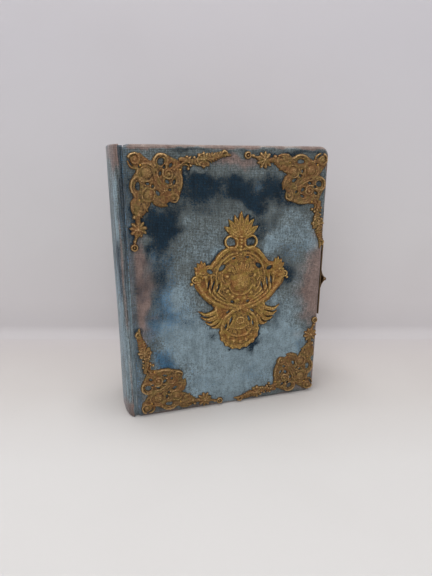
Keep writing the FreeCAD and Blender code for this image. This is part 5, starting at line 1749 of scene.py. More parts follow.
@dataclass
class CornerMounts:
    """Four stampings from one die, each turned a quarter from the last."""

    pitch: float = 0.42
    plate: float = 0.7
    from_hinge: float = 5.4
    from_fore: float = 0.8
    from_head: float = 6.0
    from_tail: float = 2.5

    def build(self) -> list[Thing]:
        """Make all four mounts.

        Returns:
            The pieces.
        """
        low, high = corners("front_velvet")
        left, right = low[0] - JOINT_GAP + self.from_hinge, high[0] - self.from_fore
        top, tail = high[2] - self.from_head, low[2] + self.from_tail
        places = {
            Corner.HEAD_SPINE: lambda u, v: (left + u, top - v),
            Corner.HEAD_FORE: lambda u, v: (right - v, top - u),
            Corner.TAIL_FORE: lambda u, v: (right - u, tail + v),
            Corner.TAIL_SPINE: lambda u, v: (left + v, tail + u),
        }
        die = self._die()
        made = []
        for corner, place in places.items():
            mount = die.mesh(f"{corner.value}_stamping", place, low[1] + 0.25, self.plate,
                             TARNISHED_GILT)
            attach(mount, "front_cover")
            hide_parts(corner.value)
            made.append(mount)
        return made

    def _die(self) -> Relief:
        """Draw the motif: u along the head edge and v down the side, from the outer corner.

        Returns:
            The drawn relief.
        """
        r = Relief((-3, -3), (103, 95), self.pitch)
        r.web([(2, 5), (12, 1.5), (22, 8), (38, 3), (49, 9), (52, 14), (51, 33), (46, 45), (38, 46),
              (32, 50), (22, 45), (14, 58), (8, 61), (4, 56), (5, 44), (2.5, 34), (4, 24), (8, 18)],
              0.5)
        each(r.spiral, (7.3, 7, 5.4, 1.7, 2, 1.5, 200), (38, 20, 5.6, 1.5, 2.2, 1.7, 250, -1))
        each(r.boss, (7.6, 7.2, 2.4, 2.2), (17.6, 19.1, 5.4, 2.5), (38.4, 20.4, 2.2, 2.4),
             (57.4, 16, 1.8, 1.9), (18.4, 39.3, 5, 2.4), (16.2, 30.6, 1.1, 1.7),
             (20.6, 30.8, 1.1, 1.7), (24.6, 33, 1.1, 1.7), (22.6, 28.4, 1.1, 1.7),
             (42.6, 42.6, 1.7, 1.9), (4.8, 59.6, 2.2, 1.9), (9.2, 57.6, 2.4, 2),
             (4.2, 82.4, 1.9, 1.8), (3.4, 88, 1.3, 2.1), (55.4, 4.6, 1.7, 2), (60, 13, 1.7, 2),
             (62.8, 5.6, 1.7, 2), (65.4, 12, 1.7, 2), (58.2, 10, 1.7, 2))
        each(r.strand, ([(1.6, 9, 0.9), (4.2, 13.8, 1.2), (9, 15.6, 0.8)], 1.6),
             ([(24.6, 11.5, 1.5), (24.2, 18, 1.7), (26, 25, 1.6), (31.5, 33, 1.2)], 2, 0, 0.5),
             ([(27.2, 15, 0.8), (27.6, 21, 1), (30.4, 27.2, 1), (34, 32.2, 0.8)], 1.8),
             ([(12, 24.5, 1), (17, 26.6, 1.2), (23.5, 25.5, 1)], 1.7), ([(43.6, 17, 1.5),
             (49.5, 12.6, 1.5), (53.2, 10, 1.2), (56.2, 6.6, 0.5)], 1.9), ([(50, 13.2, 1.1),
             (54, 12.4, 1), (57.6, 13.4, 1), (58.6, 16.6, 0.7)], 1.7), ([(46.4, 14.6, 1.3),
             (49.6, 21, 1.7), (50.2, 29, 2), (47, 36.4, 1.4)], 2.1), ([(15, 25.6, 1.2),
             (8.6, 22.8, 1.6), (4, 27, 1.6), (3.4, 34, 1.5), (7, 41.5, 1.2)], 2.1),
             ([(12.6, 26, 0.8), (13.8, 31, 1), (12, 37, 0.8)], 1.6), ([(38, 40, 1), (42, 38.6, 1.3),
             (46.4, 41.6, 1.5), (44.4, 46, 1.3), (40, 45.6, 0.7)], 2), ([(9.6, 54, 3.4),
             (8, 61, 2.6), (7.8, 67, 2.4)], 1.8, 2.3), ([(6.8, 76, 2.6), (4.8, 81, 1.5),
             (3.6, 86, 1.3)], 1.6, 2.1), ([(50, 7, 2.6), (57, 8.6, 2.8), (63, 9.4, 3.2),
             (68, 8.4, 3)], 1.7, 2.9), ([(76.5, 6.4, 3.2), (84, 4.6, 2.5), (91, 2.8, 1.8)], 2, 2.6),
             ([(89, 3.4, 1.4), (92.4, -0.6, 1.6), (95.4, 1.6, 1.4), (93.2, 4.4, 0.8)], 2))
        each(r.ring, (17.6, 19.1, 8.6, 1.5, 2, 110, 235), (17.6, 19.1, 6.3, 0.7, 1.7, 150, 170),
             (31.6, 8.8, 6.4, 2, 2.2, 150, 250), (31.6, 8.8, 4.1, 0.7, 1.6),
             (37, 27.4, 4.2, 0.9, 1.6, 20, 200), (37.2, 27.2, 6, 0.8, 1.5, 10, 160),
             (18.4, 39.3, 6.2, 1.1, 1.7), (3.4, 88, 2.6, 1.2, 2), (72, 7.6, 6, 0.8, 2.2, 60, 210))
        each(r.leaf, ((52, 11), (60, 7.2), 1.4, 1.5), ((46, 21.5), (47.4, 36), 3.6, 1.9, -0.8),
             ((24, 43), (37.6, 49), 3.4, 1.9, 1.6), ((22, 44.6), (31, 51), 2, 1.6), ((7, 42),
             (12.4, 61), 4.6, 2.1, 0.9), ((4.6, 43), (3.6, 57.5), 2.6, 1.8, 0.6), ((12, 47),
             (17.6, 55), 2.2, 1.7, -0.6), ((55, 9), (60.6, 3.2), 1.9, 1.9), ((93.6, 2.4),
             (99.6, 3.6), 1.9, 1.7))
        each(r.flower, (33.5, 35.7, 4.2, 5, 2.1, 18), (7.7, 71.3, 8.4, 9, 2.3, 10, 0.3),
             (7.9, 71.6, 5.2, 7, 2.6, 30, 0.4), (72, 7.6, 8.2, 8, 2.3, 0, 0.28),
             (72, 7.6, 4.6, 5, 2.7, 20, 0.4))
        for tip in ((38, 5.2), (41.8, 4.6), (45.4, 7.4), (48.4, 11)):
            r.leaf((42, 16), tip, 1.7, 1.9)
        for k in range(7):
            r.leaf((77.6 + 2.5 * k, 6.6 - 0.65 * k), (80.4 + 2.5 * k, 11.2 - 1.3 * k), 1.6, 1.9)
            r.leaf((77.6 + 2.5 * k, 5.4 - 0.65 * k), (79.6 + 2.5 * k, 1.4 - 0.5 * k), 1.3, 1.7)
        each(r.hole, (31.6, 9, 3, 3.2), (30.6, 19.6, 1.2, 2.2, 20), (37, 27.2, 2.2, 1.5, 30),
             (18.4, 29, 1.5, 0.9, 10), (27.4, 38, 1.5, 2.6, -30), (8.8, 31.4, 1.9, 3.7, 8),
             (41, 12.6, 1.1, 2, 40), (22.9, 31.4, 0.9, 1.3, 40), (11.2, 13, 0.9, 1.3, 40),
             (38.8, 34.6, 1.3, 1), (34.6, 13.8, 1, 1.4), (43.2, 27.4, 0.9, 2.2, 20))
        return r


@dataclass
class Medallion:
    """The large stamping in the middle of the front cover; a is across and b is up."""

    pitch: float = 0.45
    plate: float = 0.75

    def build(self) -> Thing:
        """Make the medallion.

        Returns:
            The piece.
        """
        low, _ = corners("front_velvet")
        middle = low[0] - JOINT_GAP + MEDALLION_ACROSS
        mount = self._die().mesh("medallion_stamping",
                                 lambda a, b: (middle + a, MEDALLION_UP + b),
                                 low[1] + 0.2, self.plate, GILT)
        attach(mount, "front_cover")
        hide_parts("medallion")
        return mount

    def _die(self) -> Relief:
        """Draw the motif.

        Returns:
            The drawn relief.
        """
        r = Relief((-57, -82), (57, 76), self.pitch)
        r.web([(-8, 34), (-20, 29), (-29, 19), (-38, 17), (-46, 14), (-51, 4), (-50, -6),
               (-41, -17), (-33, -26), (-23, -33), (-21.5, -50), (-19, -64), (-11, -73),
               (0, -76), (11, -73), (19, -64), (21.5, -50), (23, -33), (33, -26), (41, -17),
               (50, -6), (51, 4), (46, 14), (38, 17), (29, 19), (20, 29), (8, 34)], 0.5)
        r.web([(-5, 34), (-7, 44), (-11, 49), (-12, 55), (-7, 60), (0, 62), (7, 60), (12, 55),
               (11, 49), (7, 44), (5, 34)], 0.6)
        for side in (-1, 1):
            self._half(r, side)
        self._crown(r)
        self._heart(r)
        self._shell(r)
        for side in (-1, 1):
            self._open(r, side)
        return r

    @staticmethod
    def _crown(r: Relief) -> None:
        """Draw the palmette at the top.

        Args:
            r: The relief being drawn.
        """
        for a, b in ((-19, 57.5), (19.6, 56.5), (-14.6, 64.4), (14.6, 65), (-7, 68.2), (8, 68.6),
                     (0.5, 72.5)):
            r.leaf((a * 0.14, 46), (a * 0.97, b - 0.6), 4.5, 2.4)
        for a, b in ((-14, 53.5), (14, 53), (-9.6, 59), (9.8, 58.8), (-3.6, 62), (4, 62.2)):
            r.leaf((a * 0.2, 46), (a, b), 3.2, 3)
        each(r.leaf, ((-5, 44), (-12.6, 48), 2, 2.4, 1), ((5, 44), (12.6, 48), 2, 2.4, -1))
        r.strand([(0, 56, 1.6), (0, 46, 2.4), (0.4, 38, 1.8), (0, 33, 2.4)], 2.8, 3.4)

    @staticmethod
    def _heart(r: Relief) -> None:
        """Draw the smooth boss and the leaves round it.

        Args:
            r: The relief being drawn.
        """
        for a, b, half in ((-11.5, 17.5, 2.6), (-5, 21.5, 2.8), (1.6, 23, 2.9), (8, 21, 2.8),
                           (13.5, 16.5, 2.6)):
            r.leaf((a * 0.55, 6.5), (a, b), half, 2.6)
        for a, b, radius in ((-14.6, -5, 2.9), (-13.6, -12.4, 2.4), (-8.6, -18.8, 2.9),
                             (-2.2, -22, 2.3), (5, -20.8, 2.7), (12.6, -15.6, 2.5),
                             (15.2, -7.6, 2.2), (-15.4, 4, 2.3), (15.8, 3.6, 2.3),
                             (-12, 10.6, 2.4), (13, 10.2, 2.4)):
            r.boss(a, b, radius, 2.3)
        for a, b in ((-17.6, -8.6), (-11.4, -16), (-5.4, -23.6), (9, -22.6), (-8, 24.6),
                     (9.6, 24.4), (0.4, 27.4), (-3.6, 27), (4.4, 27)):
            r.boss(a, b, 1.6, 1.9)
        r.strand([(-12.4, -2, 0.9), (-12.2, -8, 1.3), (-7.4, -14, 1.4), (0.4, -15.8, 1.5),
                 (8, -14, 1.4), (12.8, -8, 1.3), (13, -2, 0.9)], 2)
        dome = np.hypot((r.u - 0.5) / 10.9, (r.v + 1.6) / 9.9)
        r.lay((1 - dome) * 10, 2.75 * np.sqrt(np.clip(1 - dome ** 2, 0, 1)) ** 0.7)

    @staticmethod
    def _shell(r: Relief) -> None:
        """Draw the crossed ribbon and the shell under it.

        Args:
            r: The relief being drawn.
        """
        for k in range(9):
            turn = math.radians(-90 + 15 * (k - 4))
            c, s = math.cos(turn), math.sin(turn)
            r.leaf((6 * c, -37 + 6 * s), (30 * c, -37 + 33 * s), 3, 2.1)
        for a, b in ((-12.6, -63.6), (-6.6, -68.6), (0.4, -70), (7.2, -68.4), (13, -63.4)):
            r.boss(a, b, 2.5, 2.3)
        for a, b in ((-20.4, -58), (-18.8, -65.4), (-14, -71.4), (-7.2, -75.2), (0.4, -76.4),
                     (8, -75), (14.6, -71), (19, -65), (20.6, -57.6)):
            r.boss(a, b, 3.3, 2.2)
        each(r.strand, ([(-21, -52, 1.4), (-20.2, -62, 2.2), (-14, -71, 2.5), (-5, -75.6, 2.5),
             (5, -75.6, 2.5), (14, -71, 2.5), (20.2, -62, 2.2), (21, -52, 1.4)], 2.2, 5.4),
             ([(-14.5, -56, 0.9), (-8, -61.4, 1.6), (0, -63, 1.8), (8, -61.4, 1.6),
             (14.5, -56, 0.9)], 2.3), ([(-12, -50, 0.8), (-6, -54, 1.2), (0, -55, 1.4),
             (6, -54, 1.2), (12, -50, 0.8)], 2.3))
        r.ring(0.5, -45.5, 4, 1, 2.3)
        r.boss(0.2, -30.4, 2.9, 2.9)
        for s in (-1, 1):
            r.strand([(s * -15, -25.5, 1.5), (s * -6, -28.4, 2.1), (s * 4, -32, 2.3),
                      (s * 14, -39, 2.1), (s * 20.2, -49, 2.1), (s * 20.6, -59, 1.4)], 2.6,
                     vein=0.4)

    @staticmethod
    def _half(r: Relief, s: int) -> None:
        """Draw what is the same on both sides.

        Args:
            r: The relief being drawn.
            s: -1 on the left and 1 on the right.
        """
        strands = (
            ([(3, 33, 1.6), (11, 33.6, 2.5), (20, 29, 2.7), (27.4, 20, 2.5), (34, 14, 2.2),
              (41, 14, 1.6)], 2.4, 0, 0.35),
            ([(4, 29.4, 1), (13, 27, 1.5), (20.4, 20.4, 1.5), (25.4, 11.4, 1.5), (27.4, 3, 1)], 2),
            ([(6, 25.4, 0.9), (13, 22.4, 1.3), (17.6, 18.4, 0.9)], 1.9),
            ([(48, 9, 1.6), (46.6, 0, 2.6), (41, -10.4, 2.7), (32, -20.6, 2.6), (20, -28, 2.4),
              (6, -31.6, 1.5)], 2.5),
            ([(38, 8, 1), (37.6, -1, 1.6), (33, -11.4, 1.8), (25.4, -20, 1.8), (14, -26.4, 1.5),
              (4, -29, 1)], 2.2),
            ([(32.4, 6, 0.9), (32, -3, 1.3), (27.4, -12.4, 1.6), (19.6, -20, 1.4), (9, -25, 0.8)],
             2.1),
            ([(27, 2, 0.8), (26, -6, 1.3), (21.6, -14, 1.3), (14.4, -20.4, 0.8)], 2),
            ([(22.2, 4, 0.8), (21.4, -5, 1.3), (17.2, -12.6, 0.9)], 2),
            ([(19, 12, 1), (20.6, 3, 1.4), (18.4, -2, 0.9)], 2),
            ([(22, -25, 1.6), (27, -30, 2.4), (25.6, -38, 2.2), (22, -46, 1.4)], 2.4),
        )
        for line, *sizes in strands:
            r.strand([(s * a, b, half) for a, b, half in line], *sizes)
        flames = (([(22, -29), (30, -34.4), (38.4, -36.2), (46, -31)], 3),
                  ([(22, -33), (29, -39.6), (36.4, -42), (43.2, -38)], 3),
                  ([(21, -37), (27, -44.4), (33, -47.4), (38.6, -44.8)], 2.8),
                  ([(20, -42), (24.4, -49), (28.8, -51.4), (33, -50.4)], 2.3))
        for points, half in flames:
            widths = (half * 0.8, half, half * 0.75, 0.25)
            r.strand([(s * a, b, width) for (a, b), width in zip(points, widths)], 2.3, vein=0.3)
        for a, b in ((34.6, 17.6), (38.8, 21.4), (42.6, 22.6), (46.8, 20.6), (50.2, 16)):
            r.leaf((s * 42, 9), (s * a, b), 3.3, 2.2)
        each(r.ring, (s * 10, 40, 6.4, 1.6, 2.2), (s * 49.4, 3, 3.1, 1.5, 2.2))
        r.flower(s * 44, 9.6, 6.3, 6, 2.3, 12)
        each(r.boss, (s * 49.4, 3, 2.2, 2.4), (s * 38.4, 5, 2.9, 2.5), (s * 53.2, -1.6, 1.9, 1.9),
             (s * 44.2, 1.6, 2.3, 2.2))

    @staticmethod
    def _open(r: Relief, s: int) -> None:
        """Pierce one side of the sheet.

        Args:
            r: The relief being drawn.
            s: -1 on the left and 1 on the right.
        """
        for a, b, across, along, turn in (
                (10, 40, 4, 4.2, 0), (20, 13.6, 3.9, 2.3, -42), (33, 10.6, 3.3, 2, 24),
                (7.6, 23.6, 1.7, 1, -20), (8.6, -24, 1.7, 1.1, 25), (33.8, -27.2, 2.4, 1.4, -30),
                (30.2, -4.6, 0.8, 5.4, 10), (35.2, -3.6, 0.8, 5, 8), (24.4, -8, 0.8, 4.2, 16),
                (13.6, -35.4, 2.2, 0.9, -42), (10, -44.6, 0.8, 3.4, 22),
                (15.6, -50.6, 0.9, 2.6, 14)):
            r.hole(s * a, b, across, along, s * turn)


# ------------------------------------------------------------------------------- repeated fittings
class RepeatTree:
    """A Geometry Nodes tree that is built in steps and baked to a plain mesh."""

    def __init__(self, name: str, numbers: dict[str, float]) -> None:
        """Open a tree with a Geometry input and named sizes.

        Args:
            name: The tree's name.
            numbers: Input names and values, in metres where they are lengths.
        """
        self.tree = bpy.data.node_groups.new(name, "GeometryNodeTree")
        face = self.tree.interface
        for way in ("INPUT", "OUTPUT"):
            face.new_socket("Geometry", in_out=way, socket_type="NodeSocketGeometry")
        self.values = {}
        for label, value in numbers.items():
            made = face.new_socket(label, in_out="INPUT", socket_type="NodeSocketFloat")
            self.values[made.identifier] = value
        self.graph = Graph(self.tree)
        self.given = self.graph.node("NodeGroupInput").outputs
        self.out = self.graph.node("NodeGroupOutput")

    def copies(self, points: Socket, instance: Socket) -> Socket:
        """Put a copy of some geometry at each point."""
        spread = self.graph.node("GeometryNodeInstanceOnPoints")
        return self.graph.fill(spread, Points=points, Instance=instance).outputs[0]

    def finish(self, geometry: Socket, material: Material, edge: Material | None = None) -> None:
        """End the tree in Realize Instances and Set Material.

        Args:
            geometry: What has been made.
            material: Its material.
            edge: The material of faces whose edge attribute is set.
        """
        g = self.graph
        real = g.node("GeometryNodeRealizeInstances")
        g.feed(real.inputs[0], geometry)
        last = g.fill(g.node("GeometryNodeSetMaterial"), Geometry=real.outputs[0],
                      Material=material).outputs[0]
        if edge:
            named = g.node("GeometryNodeInputNamedAttribute", data_type="BOOLEAN")
            g.fill(named, Name="edge")
            last = g.fill(g.node("GeometryNodeSetMaterial"), Geometry=last, Material=edge,
                          Selection=named.outputs["Attribute"]).outputs[0]
        g.feed(self.out.inputs[0], last)

    def bake(self, source: Thing, name: str) -> Thing:
        """Run the tree on an object and keep the result as a plain mesh.

        Args:
            source: The object that the tree starts from; it is removed.
            name: The new piece's name.

        Returns:
            The baked piece.
        """
        modifier = source.modifiers.new("repeat", "NODES")
        modifier.node_group = self.tree
        for identifier, value in self.values.items():
            modifier[identifier] = value
        ready = source.evaluated_get(bpy.context.evaluated_depsgraph_get())
        mesh = bpy.data.meshes.new_from_object(ready)
        source.modifiers.remove(modifier)
        bpy.data.objects.remove(source)
        mesh.name = name
        return linked(name, mesh)


@dataclass
class MountNails:
    """Small domed nails that hold the mounts, one at each point."""

    radius: float = 1.15
    dome: float = 0.75
    raised: float = 1.25
    from_spine: float = 2.9
    from_fore: float = 0.8
    from_head: float = 6.0
    from_tail: float = 2.5

    def build(self) -> Thing:
        """Make all nail heads as one piece.

        Returns:
            The baked piece.
        """
        low, high = corners("front_velvet")
        left, right = low[0] + self.from_spine, high[0] - self.from_fore
        top, tail = high[2] - self.from_head, self.from_tail
        spots = []
        for u, v in ((12.2, 12.4), (49.2, 16.6), (9.8, 44.0)):
            spots += [(left + u, top - v), (right - v, top - u), (right - u, tail + v),
                      (left + v, tail + u)]
        middle = low[0] - JOINT_GAP + MEDALLION_ACROSS
        spots += [(middle + s * a, MEDALLION_UP + b)
                  for s in (-1, 1) for a, b in ((41, 4.5), (21, -26))]
        points = np.array([(x, low[1] - self.raised, z) for x, z in spots])
        source = piece("nail_places", points, [], [])
        tree = RepeatTree("nail_heads", {"Radius": self.radius * MM, "Dome": self.dome * MM})
        g = tree.graph
        ball = g.fill(g.node("GeometryNodeMeshUVSphere"), Segments=14, Rings=8, Radius=1.0)
        size = g.fill(g.node("ShaderNodeCombineXYZ"), X=tree.given["Radius"],
                      Y=tree.given["Dome"], Z=tree.given["Radius"])
        shape = g.fill(g.node("GeometryNodeTransform"), Geometry=ball.outputs[0],
                       Scale=size.outputs[0])
        tree.finish(tree.copies(tree.given["Geometry"], shape.outputs[0]), FOOT_BRASS.material())
        made = tree.bake(source, "mount_nail_heads")
        made.data.polygons.foreach_set("use_smooth", [True] * len(made.data.polygons))
        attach(made, "front_cover")
        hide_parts("mount_nails")
        return made


@dataclass
class Leaves:
    """Nine thick card leaves with gilt edges and a framed place for a card on each side."""

    count: int = 9
    air: float = 0.12
    round_over: float = 0.9
    corner_round: float = 2.2
    window: Point2 = (98.0, 140.0)
    window_shift: float = 2.0
    sunk: float = 0.9
    gold_lines: tuple[Point2, ...] = ((3.0, 0.9), (6.0, 0.5), (22.0, 0.6))
    gold_thick: float = 0.06

    def build(self) -> list[Thing]:
        """Make the leaves and their printed frames.

        Returns:
            The pieces.
        """
        low, high = corners("leaf_block")
        self.low, self.high = low, high
        pitch = (high[1] - low[1]) / self.count
        self.thick = pitch - self.air
        tree = RepeatTree("leaf_stack", {"Pitch": pitch * MM, "Count": self.count})
        g = tree.graph
        step = g.fill(g.node("ShaderNodeCombineXYZ"), Y=tree.given["Pitch"])
        line = g.fill(g.node("GeometryNodeMeshLine", mode="OFFSET", count_mode="TOTAL"),
                      Count=tree.given["Count"], Offset=step.outputs[0])
        tree.finish(tree.copies(line.outputs[0], tree.given["Geometry"]), LEAF_CARD.material(),
                    LEAF_EDGE.material())
        leaves = tree.bake(self._leaf(low[1] + self.air / 2), "card_leaves")
        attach(leaves, "spine")
        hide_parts("leaf_block")
        return [leaves, self._frames()]

    def _leaf(self, y: float) -> Thing:
        """One leaf with round edges.

        Args:
            y: Its lower face.

        Returns:
            The leaf, with the edge attribute on its faces.
        """
        half, reach = self.thick / 2, self.round_over
        stations = [(-reach * 2.2, -half),
                    *((reach * math.cos(a) - reach, half * math.sin(a))
                      for a in np.linspace(-math.pi / 2, math.pi / 2, 9)),
                    (-reach * 2.2, half)]
        rings = np.array([self._loop(-out if out < 0 else 0.0, y + half + up)
                          for out, up in stations])
        last, n = len(rings) - 1, rings.shape[1]
        ids = np.arange((last + 1) * n).reshape(-1, n)
        verts = list(rings.reshape(-1, 3))
        faces, edge = [], []
        for k in range(last):
            faces += band(ids[k], ids[k + 1])
            edge += [0 < k < last - 1] * n
        for ring, up, way in ((0, -half, -1), (last, half, 1)):
            first = len(verts)
            verts += self._window(y + half + up, 0.0)
            verts += self._window(y + half + (up - way * self.sunk), -0.8)
            rim = np.arange(first, first + 4)
            for k, wall in enumerate(band(rim, rim + 4)):
                outer = [ids[ring, (5 * k + q) % n] for q in range(2, 8)]
                faces += [[first + (k + 1) % 4, first + k, *outer], wall]
            faces.append(list(rim + 4))
            edge += [False] * 9
        made = piece("leaf_pattern", np.array(verts), faces, [], smooth=False)
        store(made, "edge", "BOOLEAN", edge, "FACE")
        with edited(made) as mesh:
            bmesh.ops.recalc_face_normals(mesh, faces=mesh.faces)
        return made

    def _loop(self, inset: float, y: float) -> list[Triple]:
        """The leaf's outline with small round corners.

        Args:
            inset: How far inside the leaf's box it runs.
            y: Its height in the stack.

        Returns:
            Its points in order.
        """
        x0, x1, z0, z1 = self.low[0], self.high[0], self.low[2], self.high[2]
        r = max(self.corner_round - inset, 0.3)
        rows = []
        for qx, qz, start in ((x1, z0, -90), (x1, z1, 0), (x0, z1, 90), (x0, z0, 180)):
            ox = qx - (inset + r) * (1 if qx == x1 else -1)
            oz = qz - (inset + r) * (1 if qz == z1 else -1)
            for k in range(5):
                t = math.radians(start + 22.5 * k)
                rows.append((ox + r * math.cos(t), y, oz + r * math.sin(t)))
        return rows

    def _window(self, y: float, grow: float) -> list[Triple]:
        """The corners of the place for a card.

        Args:
            y: Their height in the stack.
            grow: How far outside the window they lie.

        Returns:
            The four points in order.
        """
        cx = (self.low[0] + self.high[0]) / 2 + self.window_shift
        cz = (self.low[2] + self.high[2]) / 2
        wide, tall = self.window
        return [(cx + sx * (wide / 2 + grow), y, cz + sz * (tall / 2 + grow))
                for sx, sz in ((1, -1), (1, 1), (-1, 1), (-1, -1))]

    def _frames(self) -> Thing:
        """Printed lines in gold round each window of the two outermost pages.

        Returns:
            The thin frames as one piece.
        """
        verts, faces = [], []
        for y, way in ((self.low[1] + self.air / 2, -1), (self.high[1] - self.air / 2, 1)):
            for grow, line in self.gold_lines:
                first = len(verts)
                for level in (0.0, self.gold_thick):
                    for reach in (grow, grow + line):
                        verts += self._window(y + way * level, reach)
                for k in range(first, first + 4):
                    j = first + (k + 1 - first) % 4
                    faces += [[k + 8, j + 8, j + 12, k + 12], [k, k + 4, j + 4, j],
                              [k + 4, k + 12, j + 12, j + 4], [k, j, j + 8, k + 8]]
        made = outward(piece("page_gold_lines", np.array(verts), faces,
                             [LEAF_PRINT.material()], smooth=False))
        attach(made, "spine")
        return made


@dataclass
class GuardStrip:
    """The linen that joins the leaves to the spine."""

    rows: int = 22
    grid: float = 2.4
    leaf_pitch: float = 3.1
    seed: int = 77

    def build(self) -> Thing:
        """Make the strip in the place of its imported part.

        Returns:
            The closed strip.
        """
        low, high = corners("guard_cloth")
        x_middle, half = (low[0] + high[0]) / 2, (high[0] - low[0]) / 2
        gy, gz = np.meshgrid(np.linspace(low[1], high[1], self.rows),
                             np.arange(low[2], high[2] + 0.1, self.grid), indexing="ij")
        swell = 0.1 * np.cos(2 * math.pi * (gy - low[1]) / self.leaf_pitch) \
            + 0.08 * clouds(gy * 2, gz, 10, self.seed)
        made = outward(slab("guard_linen",
                            np.stack([x_middle - half + 0.15 + swell, gy, gz], -1),
                            np.stack([x_middle + half + 0 * gy, gy, gz], -1), LINEN))
        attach(made, "spine")
        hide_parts("guard_cloth")
        return made


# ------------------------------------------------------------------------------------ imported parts
PART_FINISHES: tuple[tuple[Finish, str], ...] = (
    (CLASP_BRASS, "catch_plate catch_pins clasp_hinge_plate clasp_hinge_pins clasp_pin "
                  "clasp_strap"),
    (BOARD, "front_board back_board spine_board spine_hollow"),
    (LINING, "front_lining back_lining"),
    (CASE_EDGE, "case_tail_wall case_head_wall case_fore_wall"),
    (CASE_WOOD, "case_spine_wall case_panel"),
    (FOOT_BRASS, "foot_1 foot_2 foot_3 foot_4 key_cup"),
    (PLATE_BRASS, "bedplate tail_bearing head_bearing governor_plate barrel_bridge comb_base "
                  "barrel crown_wheel cylinder_sleeve great_wheel governor_wheel"),
    (BLUED_STEEL, "bed_screws frame_screws click_stud comb_screws click mainspring"),
    (BRIGHT_STEEL, "panel_screws winding_key winding_arbor comb ratchet cylinder_arbor fly "
                   "stop_slide"),
)


def dress_parts() -> None:
    """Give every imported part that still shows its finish."""
    for finish, names in PART_FINISHES:
        for name in names.split():
            part = frame["nodes"][name]
            part.data.materials.clear()
            part.data.materials.append(finish.material())
            log.info("part %s finished as %s", name, finish.name)


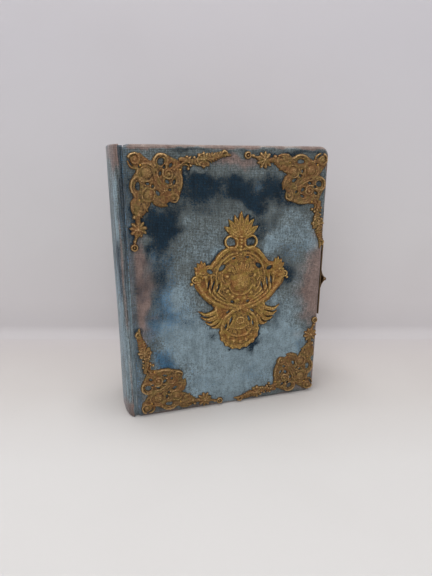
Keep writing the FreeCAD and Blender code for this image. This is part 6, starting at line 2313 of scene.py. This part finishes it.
# ------------------------------------------------------------------------------------------ studio
@dataclass
class Studio:
    """Pale floor and wall, soft lamps and the camera."""

    camera: Triple = (-131.15, -439.97, 261.68)
    turn: float = 0.28242
    tilt: float = 0.28621
    lens: float = 26.1
    wall: float = 618.0
    floor_colour: Colour = linear(199, 197, 195)
    wall_colour: Colour = linear(190, 187, 191)

    def build(self) -> None:
        """Set the stage, the lamps, the world and the camera."""
        self._backdrop()
        self._lamps()
        self._camera()

    @staticmethod
    def _paint() -> Material:
        """The stage's matt paint, coloured by the paint attribute, which holds painted shade and
        painted light near the wall, and clear from behind.

        Returns:
            The material.
        """
        made = bpy.data.materials.new("studio_paint")
        made.use_nodes = True
        made.node_tree.nodes.clear()
        g = Graph(made.node_tree)
        paint = g.node("ShaderNodeAttribute", attribute_name="paint").outputs["Color"]
        cloud = g.noise(g.node("ShaderNodeTexCoord").outputs["Object"], 5.0)
        shader = g.fill(g.node("ShaderNodeBsdfPrincipled"), Roughness=0.75,
                        Specular_IOR_Level=0.2)
        dull = g.times(g.step(cloud, 0.45, 0.75), 0.05)
        g.fill(shader, Base_Color=g.mix(dull, paint, linear(150, 140, 134)))
        unseen = g.node("ShaderNodeBsdfTransparent")
        both = g.node("ShaderNodeMixShader")
        side = g.node("ShaderNodeNewGeometry").outputs["Backfacing"]
        for index, value in enumerate((side, shader.outputs[0], unseen.outputs[0])):
            g.feed(both.inputs[index], value)
        g.fill(g.node("ShaderNodeOutputMaterial"), Surface=both.outputs[0])
        return made

    def _backdrop(self) -> None:
        """The floor sweeps up into a wall that stands square to the camera. Its paint is darker near
        the wall and on the bend as painted shade, and lighter low on the wall as painted light.
        """
        reach, bend, wall = 2600.0, 18.0, self.wall
        # Painted shade darkens the floor towards the wall; painted light lifts the wall from 60 to
        # 160 mm up.
        rows = [(-reach, 0.0, self.floor_colour), (wall - 300, 0.0, self.floor_colour),
                (wall - 170, 0.0, linear(191, 187, 184)), (wall - 70, 0.0, linear(187, 182, 180)),
                (wall - bend, 0.0, linear(183, 178, 178))]
        # The bend's grey is painted shade, darker than the wall above it.
        for a in np.linspace(0, math.pi / 2, 8)[1:]:
            bend_shade = 182 - 8 * math.sin(2 * a) + 10 * math.sin(a)
            rows.append((wall - bend + bend * math.sin(a), bend - bend * math.cos(a),
                         linear(bend_shade, bend_shade - 4, bend_shade - 3)))
        rows += [(wall, 60.0, linear(199, 195, 196)), (wall, 160.0, linear(198, 195, 196)),
                 (wall, 420.0, self.wall_colour), (wall, reach, self.wall_colour),
                 (wall - bend, -0.5, self.floor_colour), (reach, -0.5, self.floor_colour)]
        c, s = math.cos(self.turn), math.sin(self.turn)
        verts = [(self.camera[0] + c * x + s * y, self.camera[1] - s * x + c * y, z)
                 for y, z, _ in rows for x in (-reach, reach)]
        faces = [[2 * i, 2 * i + 1, 2 * i + 3, 2 * i + 2] for i in range(len(rows) - 1)
                 if rows[i][1] < reach]
        stage = piece("studio_sweep", np.array(verts), faces, [self._paint()])
        store(stage, "paint", "FLOAT_COLOR",
              [(*colour, 1.0) for *_, colour in rows for _ in (0, 1)])

    @staticmethod
    def _lamp(name: str, place: Triple, aim: Triple, size: float, power: float,
              colour: Colour) -> None:
        """Add a square soft lamp.

        Args:
            name: Its name.
            place, aim: Where it is and what it looks at, in millimetres.
            size: Its width in millimetres.
            power: In watts.
            colour: Its light.
        """
        data = bpy.data.lights.new(name, "AREA")
        data.size = size * MM
        data.energy = power
        data.color = colour
        lamp = linked(name, data)
        lamp.location = Vector(place) * MM
        lamp.rotation_euler = (Vector(aim) - Vector(place)).to_track_quat("-Z", "Y").to_euler()

    def _lamps(self) -> None:
        """A broad window light from the upper left, a weaker fill and an even sky."""
        self._lamp("window", (-700, -1400, 1500), (0, 0, 120), 1900, 20.5, (1.0, 0.985, 0.965))
        self._lamp("skylight", (-60, 30, 1400), (-60, 30, 0), 420, 10.0, (1.0, 0.99, 0.97))
        self._lamp("fill", (1400, -1200, 900), (0, 0, 120), 1500, 3.5, (0.95, 0.97, 1.0))
        world = bpy.data.worlds.new("even_sky")
        world.use_nodes = True
        world.node_tree.nodes.clear()
        g = Graph(world.node_tree)
        sky = g.fill(g.node("ShaderNodeBackground"), Color=(0.93, 0.95, 1.0), Strength=0.66)
        g.fill(g.node("ShaderNodeOutputWorld"), Surface=sky.outputs[0])
        bpy.context.scene.world = world

    def _camera(self) -> None:
        """Stand the camera where it looks at the front and a little of the spine."""
        data = bpy.data.cameras.new("album_camera")
        data.lens = self.lens
        data.sensor_width = 36.0
        camera = linked("album_camera", data)
        camera.location = Vector(self.camera) * MM
        camera.rotation_euler = (math.pi / 2 - self.tilt, 0.0, -self.turn)
        bpy.context.scene.camera = camera
        bpy.context.scene.view_settings.view_transform = "Standard"


# The dark halo round the mounts: unworn pile and painted contact shade.
PILE_AND_SHADE_REACH = 3.4
PILE_AND_SHADE_SHARES = (("medallion", 0.65), ("corner", 0.36))


def main() -> None:
    """Build every sub-assembly in order and report each."""
    logging.basicConfig(level=logging.INFO, format="%(name)s: %(message)s")
    Studio().build()
    key_middle = sum(corners("key_cup")) / 2
    builders = [
        VelvetCover("front_cloth", "front_velvet", "front_cover", FRONT_PATCHES, 100, -1),
        VelvetCover("back_cloth", "back_velvet", "back_cover", BACK_PATCHES, 300, 1, grid=1.8,
                    hole=(float(key_middle[0]), float(key_middle[2]), 16.2)),
        Spine(), Leaves(), GuardStrip(), CornerMounts(), Medallion(), MountNails(),
    ]
    for builder in builders:
        made = builder.build()
        for item in made if isinstance(made, list) else [made]:
            log.info("piece %s has %d faces", item.name, len(item.data.polygons))
    for start, share in PILE_AND_SHADE_SHARES:
        mounts = [o for o in bpy.data.objects if o.name.startswith(start)
                  and o.name.endswith("_stamping")]
        pile_and_shade_round(bpy.data.objects["front_cloth"], mounts, PILE_AND_SHADE_REACH, share)
    dress_parts()


if __name__ == "__main__":
    main()
